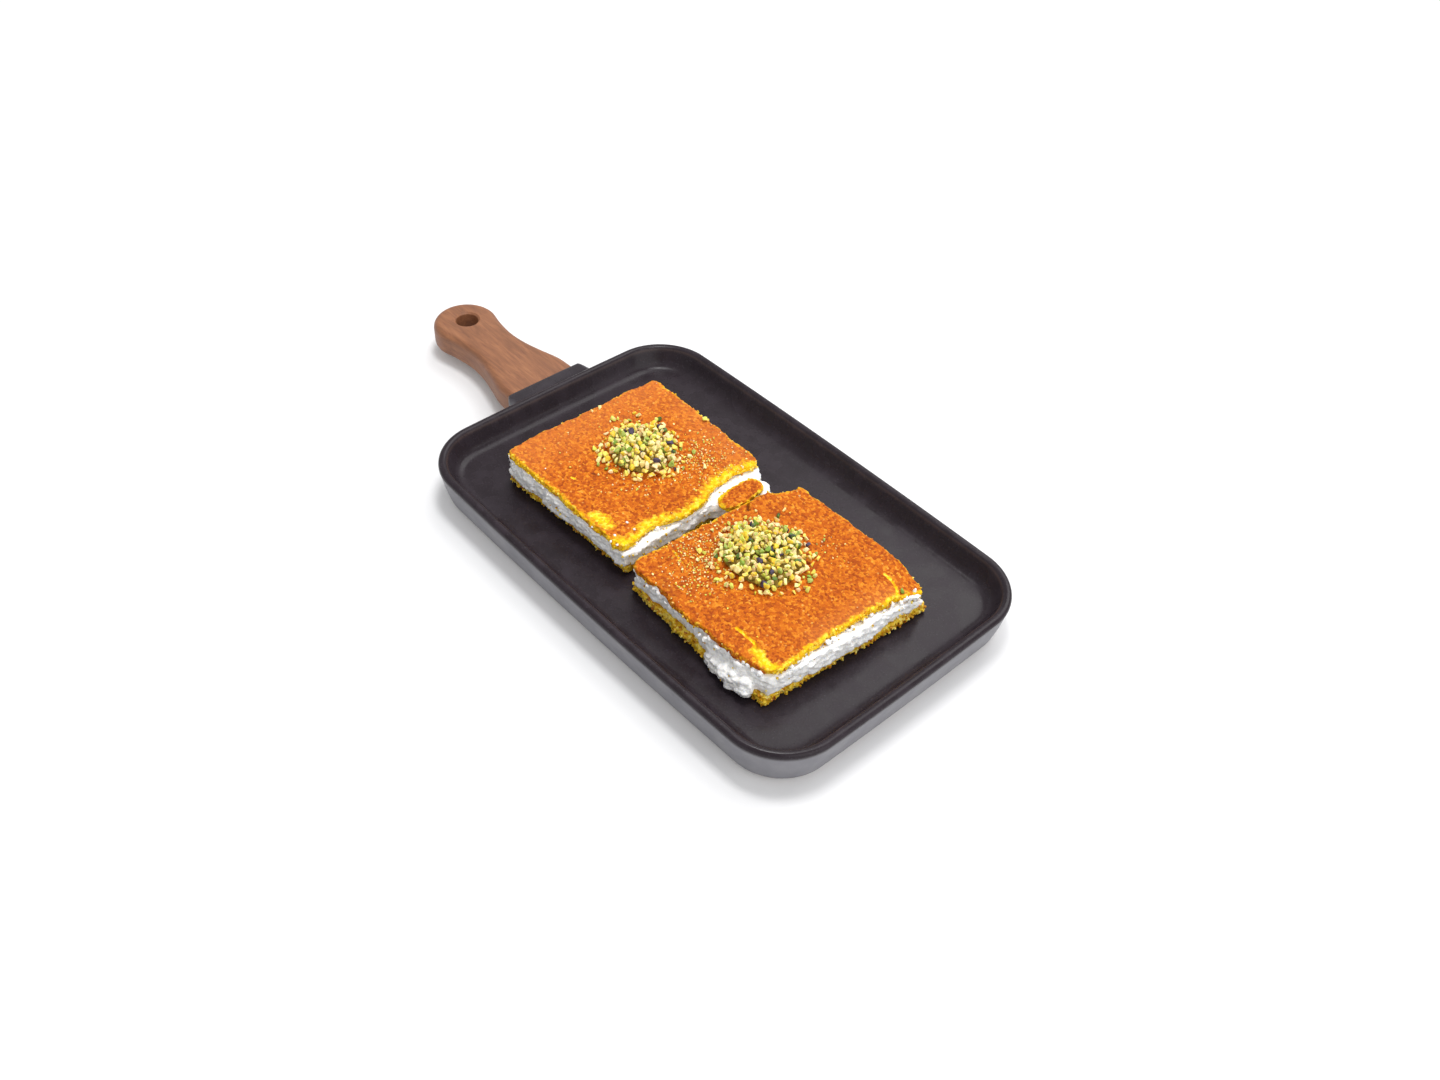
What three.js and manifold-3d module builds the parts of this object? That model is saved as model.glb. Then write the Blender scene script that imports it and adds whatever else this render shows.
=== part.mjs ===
// Two squares of cream kunafa on an oblong stoneware tray with a wooden handle.
//
// Millimetres, +Z up. The origin is on the table, under the middle of the whole object's length.
// +X runs along the tray, away from the handle. Each square has a crumb base, a layer of clotted
// cream, a browned crumb crust and a heap of chopped pistachio, each one closed solid. A shard of
// crust has broken off the back square and lies on its cream, in the gap between the two.

import * as THREE from "three";
import { mergeVertices } from "three/addons/utils/BufferGeometryUtils.js";
import Module from "manifold-3d";

const wasm = await Module();
wasm.setup();

// The tray
const TRAY_LENGTH = 244;
const TRAY_WIDTH = 153.4;
const TRAY_HEIGHT = 22;
const CORNER_RADIUS = 27.4;
const LONG_SIDE_BOW = 1.8;
const SHORT_SIDE_BOW = 0.9;
const FLOOR_HEIGHT = 12;
const RECESS_HEIGHT = 4;
const CORNER_STEPS = 9;
const LONG_SIDE_STEPS = 8;
const SHORT_SIDE_STEPS = 5;

// The lug that stands out of the tray's end and carries the handle
const LUG_REACH = 9.5;
const LUG_ROOT = 8;
const LUG_NEAR_Y = -18.5;
const LUG_FAR_Y = 27;
const LUG_FLARE = 4.5;
const LUG_BOTTOM = 4.6;
const LUG_TOP = 19.6;
const LUG_EDGE_ROUND = 1.6;

// The handle
const HANDLE_LENGTH = 82.9;
const HANDLE_THICKNESS = 14;
const HANDLE_BOTTOM = 5;
const HANDLE_CENTRE_Y = 3.3;
const HANDLE_HALF_WIDTHS = [19.9, 19.3, 16.4, 13.9, 13.1, 14.4]; // every 11 mm from the lug
const HANDLE_STATION = 11;
const HANDLE_END_RADIUS = 16.6;
const HANDLE_END_ANGLE = THREE.MathUtils.degToRad(78);
const HANDLE_EDGE_ROUND = 3.6;
const HANGING_HOLE_DIAMETER = 11.6;
const HANGING_HOLE_CENTRE_Y = 4.2;
const HANGING_HOLE_CHAMFER = 0.9;

// The food
const GAP = 0.3; // between solids that lie on each other
const BASE_THICKNESS = 4.3;
const CRUST_THICKNESS = 4.1;
const CRUST_WAVE = { depth: 0.4, size: 19 };
const DROOP_THINNING = 0.1; // the share of a drooping corner's fall that its underside doesn't follow
const CRUMB_EDGE = { depth: 1.05, size: 4, steps: 20 };
const CREAM_EDGE = { depth: 1, size: 6.5, steps: 17 };
const CREAM_LUMP = { depth: 0.22, size: 2.6, stretch: [1.15, 1, 1.3], seed: 4 };
const LUMP_CLEARANCE = 1.4 * GAP;

// A nut's three half axes are 0.5 nut sizes times a draw from `least` to `least + spread`. Its
// middle lies `lift` nut sizes over what carries it.
const NUT = { size: 3.3, lift: 0.3, least: [0.8, 0.75, 0.7], spread: [0.5, 0.35, 0.3] };
const LOOSE_NUT = { size: 2.3, lift: 0.2 };

// A heap's core has rings at these shares of its radius. Its nuts lie on a spiral, off their places
// by up to half of `loose` mm outwards, `turn` radians round it and `rise` nut sizes in height, and
// their sizes differ by `unlike`.
const HEAP_CORE = { rings: [0.94, 0.7, 0.35], sides: 18, depth: 0.1, size: 0.5 };
const HEAP_NUTS = { margin: 0.5, loose: 1, turn: 0.2, onCore: 0.17, rise: 0.2, unlike: 0.4 };

// Surfaces that cut the food reach this far outside its squares and over all of it. Their grids
// are fine where they show, and coarse where they are hidden.
const OUTSIDE = 14;
const OVER_ALL = 44;
const COLUMN_TOP = 36;
const FINE_CELLS = 11;
const COARSE_CELLS = 8;

const trayReach = TRAY_LENGTH / 2 + SHORT_SIDE_BOW;
const handleReach = trayReach + LUG_REACH - SHORT_SIDE_BOW + GAP + HANDLE_LENGTH;
const TRAY_CENTRE_X = (handleReach - trayReach) / 2;
const baseBottom = FLOOR_HEIGHT + GAP;
const baseTop = baseBottom + BASE_THICKNESS;

// The two squares, in the tray's own plan. Their corners, and every list of four, go round
// counter-clockwise seen from above: the near and far corners of the handle side are the first and
// the last. A side starts at its corner: 0 is the long side on -Y, 1 faces away from the handle.
// A layer lies `inset` mm inside the square, with corners of its own radius, which may be shifted.
// A bulge or a bite in a side is { side, at: share of the side, push: mm outwards, reach: mm }.
const SQUARES = [
  {
    name: "back",
    seed: 3,
    corners: [[-86.6, -50.4], [-6.2, -48.4], [-7.4, 37.7], [-85.8, 37.6]],
    topAtCorners: [31.7, 28.4, 29.6, 31.2],
    droop: { corner: 1, reach: 16, slope: 0.08 },
    crust: {
      inset: 0,
      radius: 3.5,
      shifts: [[0, 0], [0, 0.8], [-1.5, -1.5], [0, 0]],
      bulges: [
        { side: 1, at: 0.48, push: 2.4, reach: 10 },
        { side: 1, at: 0.22, push: -1.8, reach: 8 },
        { side: 1, at: 0.77, push: -2.7, reach: 13 },
      ],
    },
    cream: {
      inset: 0.7,
      radius: 2.5,
      shifts: [[-0.8, 0], [0, 0], [-0.8, -0.8], [0, 0]],
      bulges: [
        { side: 1, at: 0.3, push: 3, reach: 34 },
        { side: 1, at: 0.78, push: 8.6, reach: 14 },
      ],
    },
    base: {
      inset: 0.8,
      radius: 1.5,
      shifts: [[0.6, 1], [2.2, 0.6], [0, 0], [0, 0]],
      bulges: [{ side: 0, at: 0.66, push: -1.6, reach: 32 }],
    },
    creamLumps: [{ x: 1.5, y: 27.2, z: 21, radius: 5 }],
    heap: { x: -48.5, y: -2, radius: 18.6, height: 4.2, nuts: 34 },
    looseNuts: [[-33, 17], [-24, 22], [-21, 13], [-29, 26], [-67, -24], [-50, -38], [-15, 2]],
  },
  {
    name: "front",
    seed: 8,
    corners: [[3.8, -52], [87, -49.4], [93, 38], [9, 37.6]],
    topAtCorners: [29.9, 30.6, 30.2, 30.2],
    droop: { corner: 2, reach: 21, slope: 0.42 },
    crust: {
      inset: 0,
      radius: 5,
      shifts: [[0, 0], [0, 0], [0, 0], [0, 0]],
      bulges: [
        { side: 0, at: 0.6, push: 2.4, reach: 26 },
        { side: 1, at: 0.62, push: -2.3, reach: 35 },
        { side: 3, at: 0.05, push: -5, reach: 8 },
      ],
    },
    cream: {
      inset: 0.9,
      radius: 2.5,
      shifts: [[0, 0], [0, 0], [0.6, 0], [0, 0]],
      bulges: [
        { side: 0, at: 0.74, push: 3.4, reach: 17 },
        { side: 1, at: 0.35, push: 2.3, reach: 27 },
        { side: 3, at: 0.05, push: -4, reach: 8 },
      ],
    },
    base: {
      inset: 0.3,
      radius: 1.2,
      shifts: [[-0.4, 0.8], [0.2, -2.2], [0.2, 0], [0, 0]],
      bulges: [
        { side: 0, at: 0.6, push: 1.6, reach: 26 },
        { side: 3, at: 0.05, push: -4, reach: 8 },
      ],
    },
    creamLumps: [
      { x: 56.5, y: -53, z: 15.4, radius: 2.4 },
      { x: 61.5, y: -53.8, z: 16.2, radius: 3 },
      { x: 66.5, y: -53.8, z: 16.8, radius: 3.5 },
      { x: 72, y: -54, z: 17.1, radius: 3.7 },
      { x: 77.6, y: -53.2, z: 17.3, radius: 3.9 },
    ],
    heap: { x: 37.6, y: -7, radius: 21.8, height: 4.6, nuts: 38 },
    looseNuts: [
      [22, -30], [31, -37], [37, -40], [17, -20], [14, -33], [20, -25], [90, 26], [48, 21], [12, -12],
    ],
  },
];

// The shard's turn is in degrees from +X, and its drop is how far its top lies below the crust's.
const SHARD = { x: -0.2, y: 15.5, length: 24.8, width: 10.8, thickness: 3.7, turn: 94, drop: 0.5 };
const SHARD_EDGE = { sides: 22, depth: 0.1, size: 0.33, fullness: 0.7, seed: 21 };

// The shard's section, as [share of its outline, depth below its top in thicknesses].
const SHARD_SECTION = [[0.93, 1.3], [1, 0.5], [0.97, 0.25], [0.72, 0]];

// A number from 0 to 1 for each whole-number place, the same on every run.
function scatter(i, j, k, seed) {
  let h = Math.imul(i, 374761393) ^ Math.imul(j, 668265263);
  h ^= Math.imul(k, 2147483647) ^ Math.imul(seed, 1274126177);
  h = Math.imul(h ^ (h >>> 13), 1103515245);
  h = Math.imul(h ^ (h >>> 16), 668265263);
  return ((h ^ (h >>> 15)) >>> 0) / 4294967296;
}

// Smooth unevenness from -1 to 1, with lumps about `size` mm across.
function uneven(x, y, z, size, seed) {
  const at = [x / size, y / size, z / size];
  const low = at.map(Math.floor);
  const share = at.map((a, i) => THREE.MathUtils.smoothstep(a - low[i], 0, 1));
  let sum = 0;
  for (let corner = 0; corner < 8; corner++) {
    const step = [corner & 1, (corner >> 1) & 1, corner >> 2];
    const weight = step.reduce((w, s, i) => w * (s ? share[i] : 1 - share[i]), 1);
    sum += weight * scatter(low[0] + step[0], low[1] + step[1], low[2] + step[2], seed);
  }
  return 2 * sum - 1;
}

// A closed surface through rings with the same number of points, each counter-clockwise seen from
// above, with a flat cap on the first and the last.
function loft(rings) {
  const count = rings[0].length;
  const points = rings.flat();
  const index = [];
  for (let ring = 0; ring + 1 < rings.length; ring++) {
    for (let i = 0; i < count; i++) {
      const [a, b] = [ring * count + i, ring * count + ((i + 1) % count)];
      index.push(a, b, b + count, a, b + count, a + count);
    }
  }
  const cap = (ring, turn) => {
    const start = ring * count;
    const centre = new THREE.Vector3();
    rings[ring].forEach((p) => centre.addScaledVector(p, 1 / count));
    points.push(centre);
    for (let i = 0; i < count; i++) {
      const edge = [start + i, start + ((i + 1) % count)];
      index.push(points.length - 1, ...(turn ? edge.reverse() : edge));
    }
  };
  cap(0, true);
  cap(rings.length - 1, false);
  return new THREE.BufferGeometry().setFromPoints(points).setIndex(index);
}

// A geometry as a solid for joins and cuts, without the triangles that merging its points closed.
function solidOf(geometry) {
  const bare = geometry.clone();
  bare.deleteAttribute("normal");
  bare.deleteAttribute("uv");
  const merged = mergeVertices(bare, 1e-4);
  const corners = [];
  for (let i = 0; i < merged.index.count; i += 3) {
    const [a, b, c] = [0, 1, 2].map((k) => merged.index.getX(i + k));
    if (a !== b && b !== c && c !== a) corners.push(a, b, c);
  }
  return new wasm.Manifold(
    new wasm.Mesh({
      numProp: 3,
      vertProperties: merged.getAttribute("position").array,
      triVerts: new Uint32Array(corners),
    }),
  );
}

// A solid as a geometry with flat facets.
function geometryOf(solid) {
  const mesh = solid.getMesh();
  const shared = new THREE.BufferGeometry();
  shared.setAttribute("position", new THREE.BufferAttribute(mesh.vertProperties, 3));
  shared.setIndex(new THREE.BufferAttribute(mesh.triVerts, 1));
  const faceted = shared.toNonIndexed();
  faceted.computeVertexNormals();
  return faceted;
}

// The largest body of a solid, without the scraps that a cut leaves loose.
function withoutScraps(solid) {
  return solid.decompose().reduce((best, body) => (body.volume() > best.volume() ? body : best));
}

function material(colour, roughness) {
  return new THREE.MeshStandardMaterial({ color: colour, roughness, metalness: 0 });
}

const GLAZED_STONEWARE = material("#45404a", 0.42);
const ACACIA = material("#b07f5c", 0.6);
const BROWNED_CRUMB = material("#dd7a1e", 0.8);
const CLOTTED_CREAM = material("#f3f1ee", 0.55);
const SYRUPY_CRUMB = material("#d8a818", 0.75);
const PISTACHIO = material("#b9bf4e", 0.7);

function meshOf(name, solid, finish) {
  const mesh = new THREE.Mesh(geometryOf(solid), finish);
  mesh.name = name;
  return mesh;
}

// The tray's outline, moved `inset` mm inwards: a rounded oblong whose sides bow out a little.
function trayRing(inset, height) {
  const [halfLength, halfWidth] = [TRAY_LENGTH / 2, TRAY_WIDTH / 2];
  const radius = CORNER_RADIUS - inset;
  const turns = [[1, 1], [-1, 1], [-1, -1], [1, -1]];
  const arcs = turns.map(([sx, sy], corner) => {
    const arc = [];
    for (let i = 0; i <= CORNER_STEPS; i++) {
      const angle = (Math.PI / 2) * (corner + i / CORNER_STEPS);
      const x = sx * (halfLength - CORNER_RADIUS) + radius * Math.cos(angle);
      const y = sy * (halfWidth - CORNER_RADIUS) + radius * Math.sin(angle);
      arc.push(new THREE.Vector3(x, y, height));
    }
    return arc;
  });
  const ring = [];
  arcs.forEach((arc, corner) => {
    ring.push(...arc);
    const next = arcs[(corner + 1) % 4][0];
    const steps = corner % 2 ? SHORT_SIDE_STEPS : LONG_SIDE_STEPS;
    for (let i = 1; i < steps; i++) ring.push(arc.at(-1).clone().lerp(next, i / steps));
  });
  return ring.map(({ x, y, z }) => {
    const [u, v] = [Math.abs(x) / halfLength, Math.abs(y) / halfWidth];
    const outX = Math.sign(x) * SHORT_SIDE_BOW * Math.max(0, 1 - v * v) * Math.min(1, u);
    const outY = Math.sign(y) * LONG_SIDE_BOW * Math.max(0, 1 - u * u) * Math.min(1, v);
    return new THREE.Vector3(x + outX, y + outY, z);
  });
}

// The tray's section, from the middle of its underside round the wall to the middle of its floor,
// as [mm in from the rim's outline, height].
function traySection() {
  return [
    [22, RECESS_HEIGHT],
    [20.5, 0.5],
    [19.6, 0],
    [9.6, 0],
    [6.4, 0.9],
    [4.2, 2.6],
    [3.1, 5.2],
    [1.9, 10.5],
    [0.7, 17],
    [0, TRAY_HEIGHT - 1.9],
    [0.5, TRAY_HEIGHT - 0.5],
    [1.9, TRAY_HEIGHT],
    [3.3, TRAY_HEIGHT - 0.3],
    [4.2, TRAY_HEIGHT - 1.2],
    [6, FLOOR_HEIGHT + 5.2],
    [7.4, FLOOR_HEIGHT + 2.2],
    [9.2, FLOOR_HEIGHT + 0.6],
    [11.6, FLOOR_HEIGHT],
  ];
}

// A low ledge behind the rim, a little wider than the handle, that flares into the wall. The flare
// leaves the wall along it, then turns, and ends where the ledge's outer edge begins.
function lugSolid() {
  const wall = -TRAY_LENGTH / 2;
  const outer = wall - LUG_REACH;
  const root = wall + LUG_ROOT;
  const pull = wall - LUG_FLARE;
  const [near, far] = [LUG_NEAR_Y - LUG_FLARE, LUG_FAR_Y + LUG_FLARE];
  const turn = LUG_FLARE / 3;
  const plan = new THREE.Shape();
  plan.moveTo(root, near);
  plan.lineTo(wall, near);
  plan.bezierCurveTo(pull, near, outer, LUG_NEAR_Y - turn, outer, LUG_NEAR_Y + 2 * turn);
  plan.lineTo(outer, LUG_FAR_Y - 2 * turn);
  plan.bezierCurveTo(outer, LUG_FAR_Y + turn, pull, far, wall, far);
  plan.lineTo(root, far);
  plan.closePath();
  const block = new THREE.ExtrudeGeometry(plan, {
    depth: LUG_TOP - LUG_BOTTOM - 2 * LUG_EDGE_ROUND,
    bevelThickness: LUG_EDGE_ROUND,
    bevelSize: LUG_EDGE_ROUND,
    bevelOffset: -LUG_EDGE_ROUND,
    bevelSegments: 2,
    curveSegments: 6,
  });
  return solidOf(block.translate(0, 0, LUG_BOTTOM + LUG_EDGE_ROUND));
}

// The lug's root is inside the wall, so what it adds within the tray's hollow is cut away again.
function traySolid() {
  const body = solidOf(loft(traySection().map(([inset, height]) => trayRing(inset, height))));
  const inWall = LUG_ROOT - 3;
  const middle = solidOf(loft([trayRing(inWall, 0), trayRing(inWall, 2 * TRAY_HEIGHT)]));
  return body.add(lugSolid().subtract(middle));
}

// A paddle outline that narrows to a neck and ends round, with a hanging hole near the end. The
// blank is longer at the lug, and is cut off there to a flat end that has no rounded edge.
function handleSolid() {
  const joint = -TRAY_LENGTH / 2 - LUG_REACH - GAP;
  const endCentre = joint - HANDLE_LENGTH + HANDLE_END_RADIUS;
  const arcX = endCentre + HANDLE_END_RADIUS * Math.cos(HANDLE_END_ANGLE);
  const arcHalf = HANDLE_END_RADIUS * Math.sin(HANDLE_END_ANGLE);
  const side = HANDLE_HALF_WIDTHS.map(
    (half, i) => new THREE.Vector2(joint - i * HANDLE_STATION, half),
  );
  side.push(new THREE.Vector2(arcX, arcHalf));
  const far = side.map(({ x, y }) => new THREE.Vector2(x, HANDLE_CENTRE_Y + y));
  const near = side.map(({ x, y }) => new THREE.Vector2(x, HANDLE_CENTRE_Y - y)).reverse();
  const spare = 3 * HANDLE_EDGE_ROUND;
  const plan = new THREE.Shape();
  plan.moveTo(joint + spare, far[0].y);
  plan.lineTo(joint, far[0].y);
  plan.splineThru(far.slice(1));
  const endAngle = 2 * Math.PI - HANDLE_END_ANGLE;
  plan.absarc(endCentre, HANDLE_CENTRE_Y, HANDLE_END_RADIUS, HANDLE_END_ANGLE, endAngle);
  plan.splineThru(near.slice(1));
  plan.lineTo(joint + spare, near.at(-1).y);
  plan.closePath();
  const round = HANDLE_EDGE_ROUND;
  const blank = new THREE.ExtrudeGeometry(plan, {
    depth: HANDLE_THICKNESS - 2 * round,
    bevelThickness: round,
    bevelSize: round,
    bevelOffset: -round,
    bevelSegments: 2,
    curveSegments: 4,
  });
  blank.translate(0, 0, HANDLE_BOTTOM + round);
  const offcut = new THREE.BoxGeometry(2 * spare, 3 * side[0].y, 3 * HANDLE_THICKNESS);
  offcut.translate(joint + spare, HANDLE_CENTRE_Y, HANDLE_BOTTOM);
  return solidOf(blank).subtract(solidOf(offcut)).subtract(hangingHole(endCentre));
}

// A bore whose edge is broken by a small chamfer at both faces.
function hangingHole(x) {
  const radius = HANGING_HOLE_DIAMETER / 2;
  const wide = radius + 2 * HANGING_HOLE_CHAMFER;
  const [bottom, top] = [HANDLE_BOTTOM, HANDLE_BOTTOM + HANDLE_THICKNESS];
  const section = [
    [0, bottom - HANGING_HOLE_CHAMFER],
    [wide, bottom - HANGING_HOLE_CHAMFER],
    [radius, bottom + HANGING_HOLE_CHAMFER],
    [radius, top - HANGING_HOLE_CHAMFER],
    [wide, top + HANGING_HOLE_CHAMFER],
    [0, top + HANGING_HOLE_CHAMFER],
  ];
  const bore = new THREE.LatheGeometry(section.map(([r, z]) => new THREE.Vector2(r, z)), 20);
  bore.rotateX(Math.PI / 2);
  return solidOf(bore.translate(x, HANGING_HOLE_CENTRE_Y, 0));
}

// How far a side stands out at `along` mm from its start.
function bulgeAt(bulges, side, along, length) {
  const own = bulges.filter((bulge) => bulge.side === side);
  const shares = own.map(({ at, reach }) => Math.exp(-(((along - at * length) / reach) ** 4)));
  return own.reduce((sum, { push }, i) => sum + push * shares[i], 0);
}

// One level of a layer's ragged edge: the square's outline with round corners, the layer's bulges
// and an unevenness of `depth` mm with lumps of `size` mm. `grow` makes the whole level larger.
function squareRing(square, layer, height, { depth, size, steps, grow = 0 }) {
  const ring = [];
  const { radius, shifts } = layer;
  const trim = radius * (1 - Math.SQRT1_2);
  const corners = square.corners.map(
    ([x, y], i) => new THREE.Vector2(x + shifts[i][0], y + shifts[i][1]),
  );
  corners.forEach((start, side) => {
    const end = corners[(side + 1) % 4];
    const length = start.distanceTo(end);
    const along = end.clone().sub(start).normalize();
    const out = new THREE.Vector2(along.y, -along.x);
    for (let i = 0; i < steps; i++) {
      const way = trim + ((length - 2 * trim) * i) / steps;
      const fromCorner = Math.min(way, length - way);
      const short = Math.max(0, radius - fromCorner);
      const cut = radius - Math.sqrt(radius ** 2 - short ** 2);
      const point = start.clone().addScaledVector(along, way);
      const rough = depth * uneven(point.x, point.y, height, size, square.seed);
      const push = bulgeAt(layer.bulges, side, way, length) - layer.inset - cut + rough + grow;
      ring.push(new THREE.Vector3(point.x + out.x * push, point.y + out.y * push, height));
    }
  });
  return ring;
}

// A layer's edge all the way up, from level to level.
function squareColumn(square, layer, levels, roughness) {
  return solidOf(loft(levels.map((height) => squareRing(square, layer, height, roughness))));
}

function levelsBetween(low, high, parts) {
  return Array.from({ length: parts + 1 }, (_, i) => THREE.MathUtils.lerp(low, high, i / parts));
}

// The crust's upper surface: sloped between the corners, gently uneven, and bent down at one corner.
function crustTop(square, x, y) {
  const [near, , far] = square.corners;
  const u = THREE.MathUtils.clamp((x - near[0]) / (far[0] - near[0]), 0, 1);
  const v = THREE.MathUtils.clamp((y - near[1]) / (far[1] - near[1]), 0, 1);
  const [a, b, c, d] = square.topAtCorners;
  const slope = THREE.MathUtils.lerp(THREE.MathUtils.lerp(a, b, u), THREE.MathUtils.lerp(d, c, u), v);
  const { corner, reach, slope: fall } = square.droop;
  const away = Math.hypot(x - square.corners[corner][0], y - square.corners[corner][1]);
  const wave = CRUST_WAVE.depth * uneven(x, y, 0, CRUST_WAVE.size, square.seed);
  return slope + wave - fall * Math.max(0, reach - away);
}

const crustBottom = (square) => (x, y) => {
  const { corner, reach, slope } = square.droop;
  const away = Math.hypot(x - square.corners[corner][0], y - square.corners[corner][1]);
  const thinner = DROOP_THINNING * slope * Math.max(0, reach - away);
  return crustTop(square, x, y) - CRUST_THICKNESS + thinner;
};

// Everything between a surface, given by its height at (x, y), and a flat level above or below it.
function bounded(square, surface, flat, cells) {
  const xs = square.corners.map(([x]) => x);
  const ys = square.corners.map(([, y]) => y);
  const [left, right] = [Math.min(...xs) - OUTSIDE, Math.max(...xs) + OUTSIDE];
  const [near, far] = [Math.min(...ys) - OUTSIDE, Math.max(...ys) + OUTSIDE];
  const points = [];
  const level = (heightAt) => {
    for (let j = 0; j <= cells; j++) {
      for (let i = 0; i <= cells; i++) {
        const x = left + ((right - left) * i) / cells;
        const y = near + ((far - near) * j) / cells;
        points.push(new THREE.Vector3(x, y, heightAt(x, y)));
      }
    }
  };
  const below = surface(left, near) < flat;
  level(below ? surface : () => flat);
  level(below ? () => flat : surface);
  const row = cells + 1;
  const upper = row * row;
  const index = [];
  for (let j = 0; j < cells; j++) {
    for (let i = 0; i < cells; i++) {
      const a = j * row + i;
      index.push(a, a + row + 1, a + 1, a, a + row, a + row + 1);
      index.push(upper + a, upper + a + 1, upper + a + row + 1);
      index.push(upper + a, upper + a + row + 1, upper + a + row);
    }
  }
  const rim = [];
  for (let i = 0; i < cells; i++) rim.push(i);
  for (let i = 0; i < cells; i++) rim.push(i * row + cells);
  for (let i = cells; i > 0; i--) rim.push(cells * row + i);
  for (let i = cells; i > 0; i--) rim.push(i * row);
  rim.forEach((a, i) => {
    const b = rim[(i + 1) % rim.length];
    index.push(a, b, upper + b, a, upper + b, upper + a);
  });
  return solidOf(new THREE.BufferGeometry().setFromPoints(points).setIndex(index));
}

function baseSolid(square) {
  return squareColumn(square, square.base, levelsBetween(baseBottom, baseTop, 2), CRUMB_EDGE);
}

// The cream fills the space between base and crust, and in a few lumps it sags down over the base.
function creamSolid(square) {
  const bottom = baseTop + GAP;
  const slab = squareColumn(square, square.cream, levelsBetween(bottom, COLUMN_TOP, 5), CREAM_EDGE);
  const around = { ...CRUMB_EDGE, grow: LUMP_CLEARANCE };
  const levels = [0, baseBottom, (baseBottom + bottom) / 2, bottom];
  const keepClear = squareColumn(square, square.base, levels, around);
  const lumps = square.creamLumps.map((lump) => lumpSolid(lump).subtract(keepClear));
  const dressed = lumps.reduce((sum, lump) => sum.add(lump), slab);
  const underCrust = bounded(square, crustBottom(square), baseBottom, COARSE_CELLS);
  return withoutScraps(dressed.intersect(underCrust));
}

// An uneven lump of cream.
function lumpSolid({ x, y, z, radius }) {
  const { depth, size, stretch, seed } = CREAM_LUMP;
  const lump = new THREE.SphereGeometry(radius, 8, 6).rotateX(Math.PI / 2).scale(...stretch);
  const points = lump.getAttribute("position");
  for (let i = 0; i < points.count; i++) {
    const [px, py, pz] = [points.getX(i), points.getY(i), points.getZ(i)];
    const swell = 1 + depth * uneven(px + x, py, pz, size, seed);
    points.setXYZ(i, px * swell, py * swell, pz * swell);
  }
  return solidOf(lump.translate(x, y, z));
}

// A chopped nut: a small lump with a few uneven sides.
function nutSolid(x, y, z, size, seed) {
  const nut = new THREE.IcosahedronGeometry(size / 2, 0);
  const draw = (i) => scatter(i, seed, 5, 77);
  nut.scale(...NUT.least.map((least, i) => least + NUT.spread[i] * draw(i + 1)));
  nut.rotateX(Math.PI * draw(4)).rotateZ(2 * Math.PI * draw(5));
  return solidOf(nut.translate(x, y, z));
}

// The crust: its ragged column between the two surfaces, with the stray nuts that lie on it.
function crustSolid(square) {
  const levels = levelsBetween(baseTop, COLUMN_TOP, 7);
  const column = squareColumn(square, square.crust, levels, CRUMB_EDGE);
  const underside = (x, y) => crustBottom(square)(x, y) + GAP;
  const slab = column
    .intersect(bounded(square, (x, y) => crustTop(square, x, y), 0, FINE_CELLS))
    .intersect(bounded(square, underside, OVER_ALL, COARSE_CELLS));
  const dressed = square.looseNuts.reduce((sum, [x, y], i) => {
    const z = crustTop(square, x, y) + LOOSE_NUT.size * LOOSE_NUT.lift;
    return sum.add(nutSolid(x, y, z, LOOSE_NUT.size, square.seed * 50 + i));
  }, slab);
  return withoutScraps(dressed);
}

// A heap of chopped nuts: a low core with nuts spread evenly over it, cut to lie on the crust.
function heapSolid(square) {
  const { x: cx, y: cy, radius, height, nuts } = square.heap;
  const foot = crustTop(square, cx, cy);
  const domeHeight = (away) => height * Math.sqrt(Math.max(0, 1 - (away / radius) ** 2));
  const ringAt = (share, z) =>
    Array.from({ length: HEAP_CORE.sides }, (_, i) => {
      const angle = (2 * Math.PI * i) / HEAP_CORE.sides;
      const [c, s] = [Math.cos(angle), Math.sin(angle)];
      const rough = 1 + HEAP_CORE.depth * uneven(c, s, 0, HEAP_CORE.size, square.seed);
      const r = radius * share * rough;
      return new THREE.Vector3(cx + r * c, cy + r * s, foot + z);
    });
  const upper = HEAP_CORE.rings.map((share) => ringAt(share, domeHeight(share * radius)));
  let heap = solidOf(loft([ringAt(HEAP_CORE.rings[0], -height), ...upper]));
  const golden = Math.PI * (3 - Math.sqrt(5));
  for (let i = 0; i < nuts; i++) {
    const draw = (n) => scatter(i, n, square.seed, 12) - 0.5;
    const even = (radius - HEAP_NUTS.margin) * Math.sqrt((i + 0.5) / nuts);
    const away = even + HEAP_NUTS.loose * draw(1);
    const angle = i * golden + HEAP_NUTS.turn * draw(2);
    const [x, y] = [cx + away * Math.cos(angle), cy + away * Math.sin(angle)];
    const onCrust = crustTop(square, x, y) + NUT.size * NUT.lift;
    const onCore = foot + domeHeight(away) + NUT.size * HEAP_NUTS.onCore;
    const z = Math.max(onCrust, onCore) + NUT.size * HEAP_NUTS.rise * draw(3);
    const size = NUT.size * (1 + HEAP_NUTS.unlike * draw(4));
    heap = heap.add(nutSolid(x, y, z, size, square.seed * 90 + i));
  }
  const lie = (x, y) => crustTop(square, x, y) + GAP;
  return withoutScraps(heap.subtract(bounded(square, lie, 0, FINE_CELLS)));
}

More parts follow.
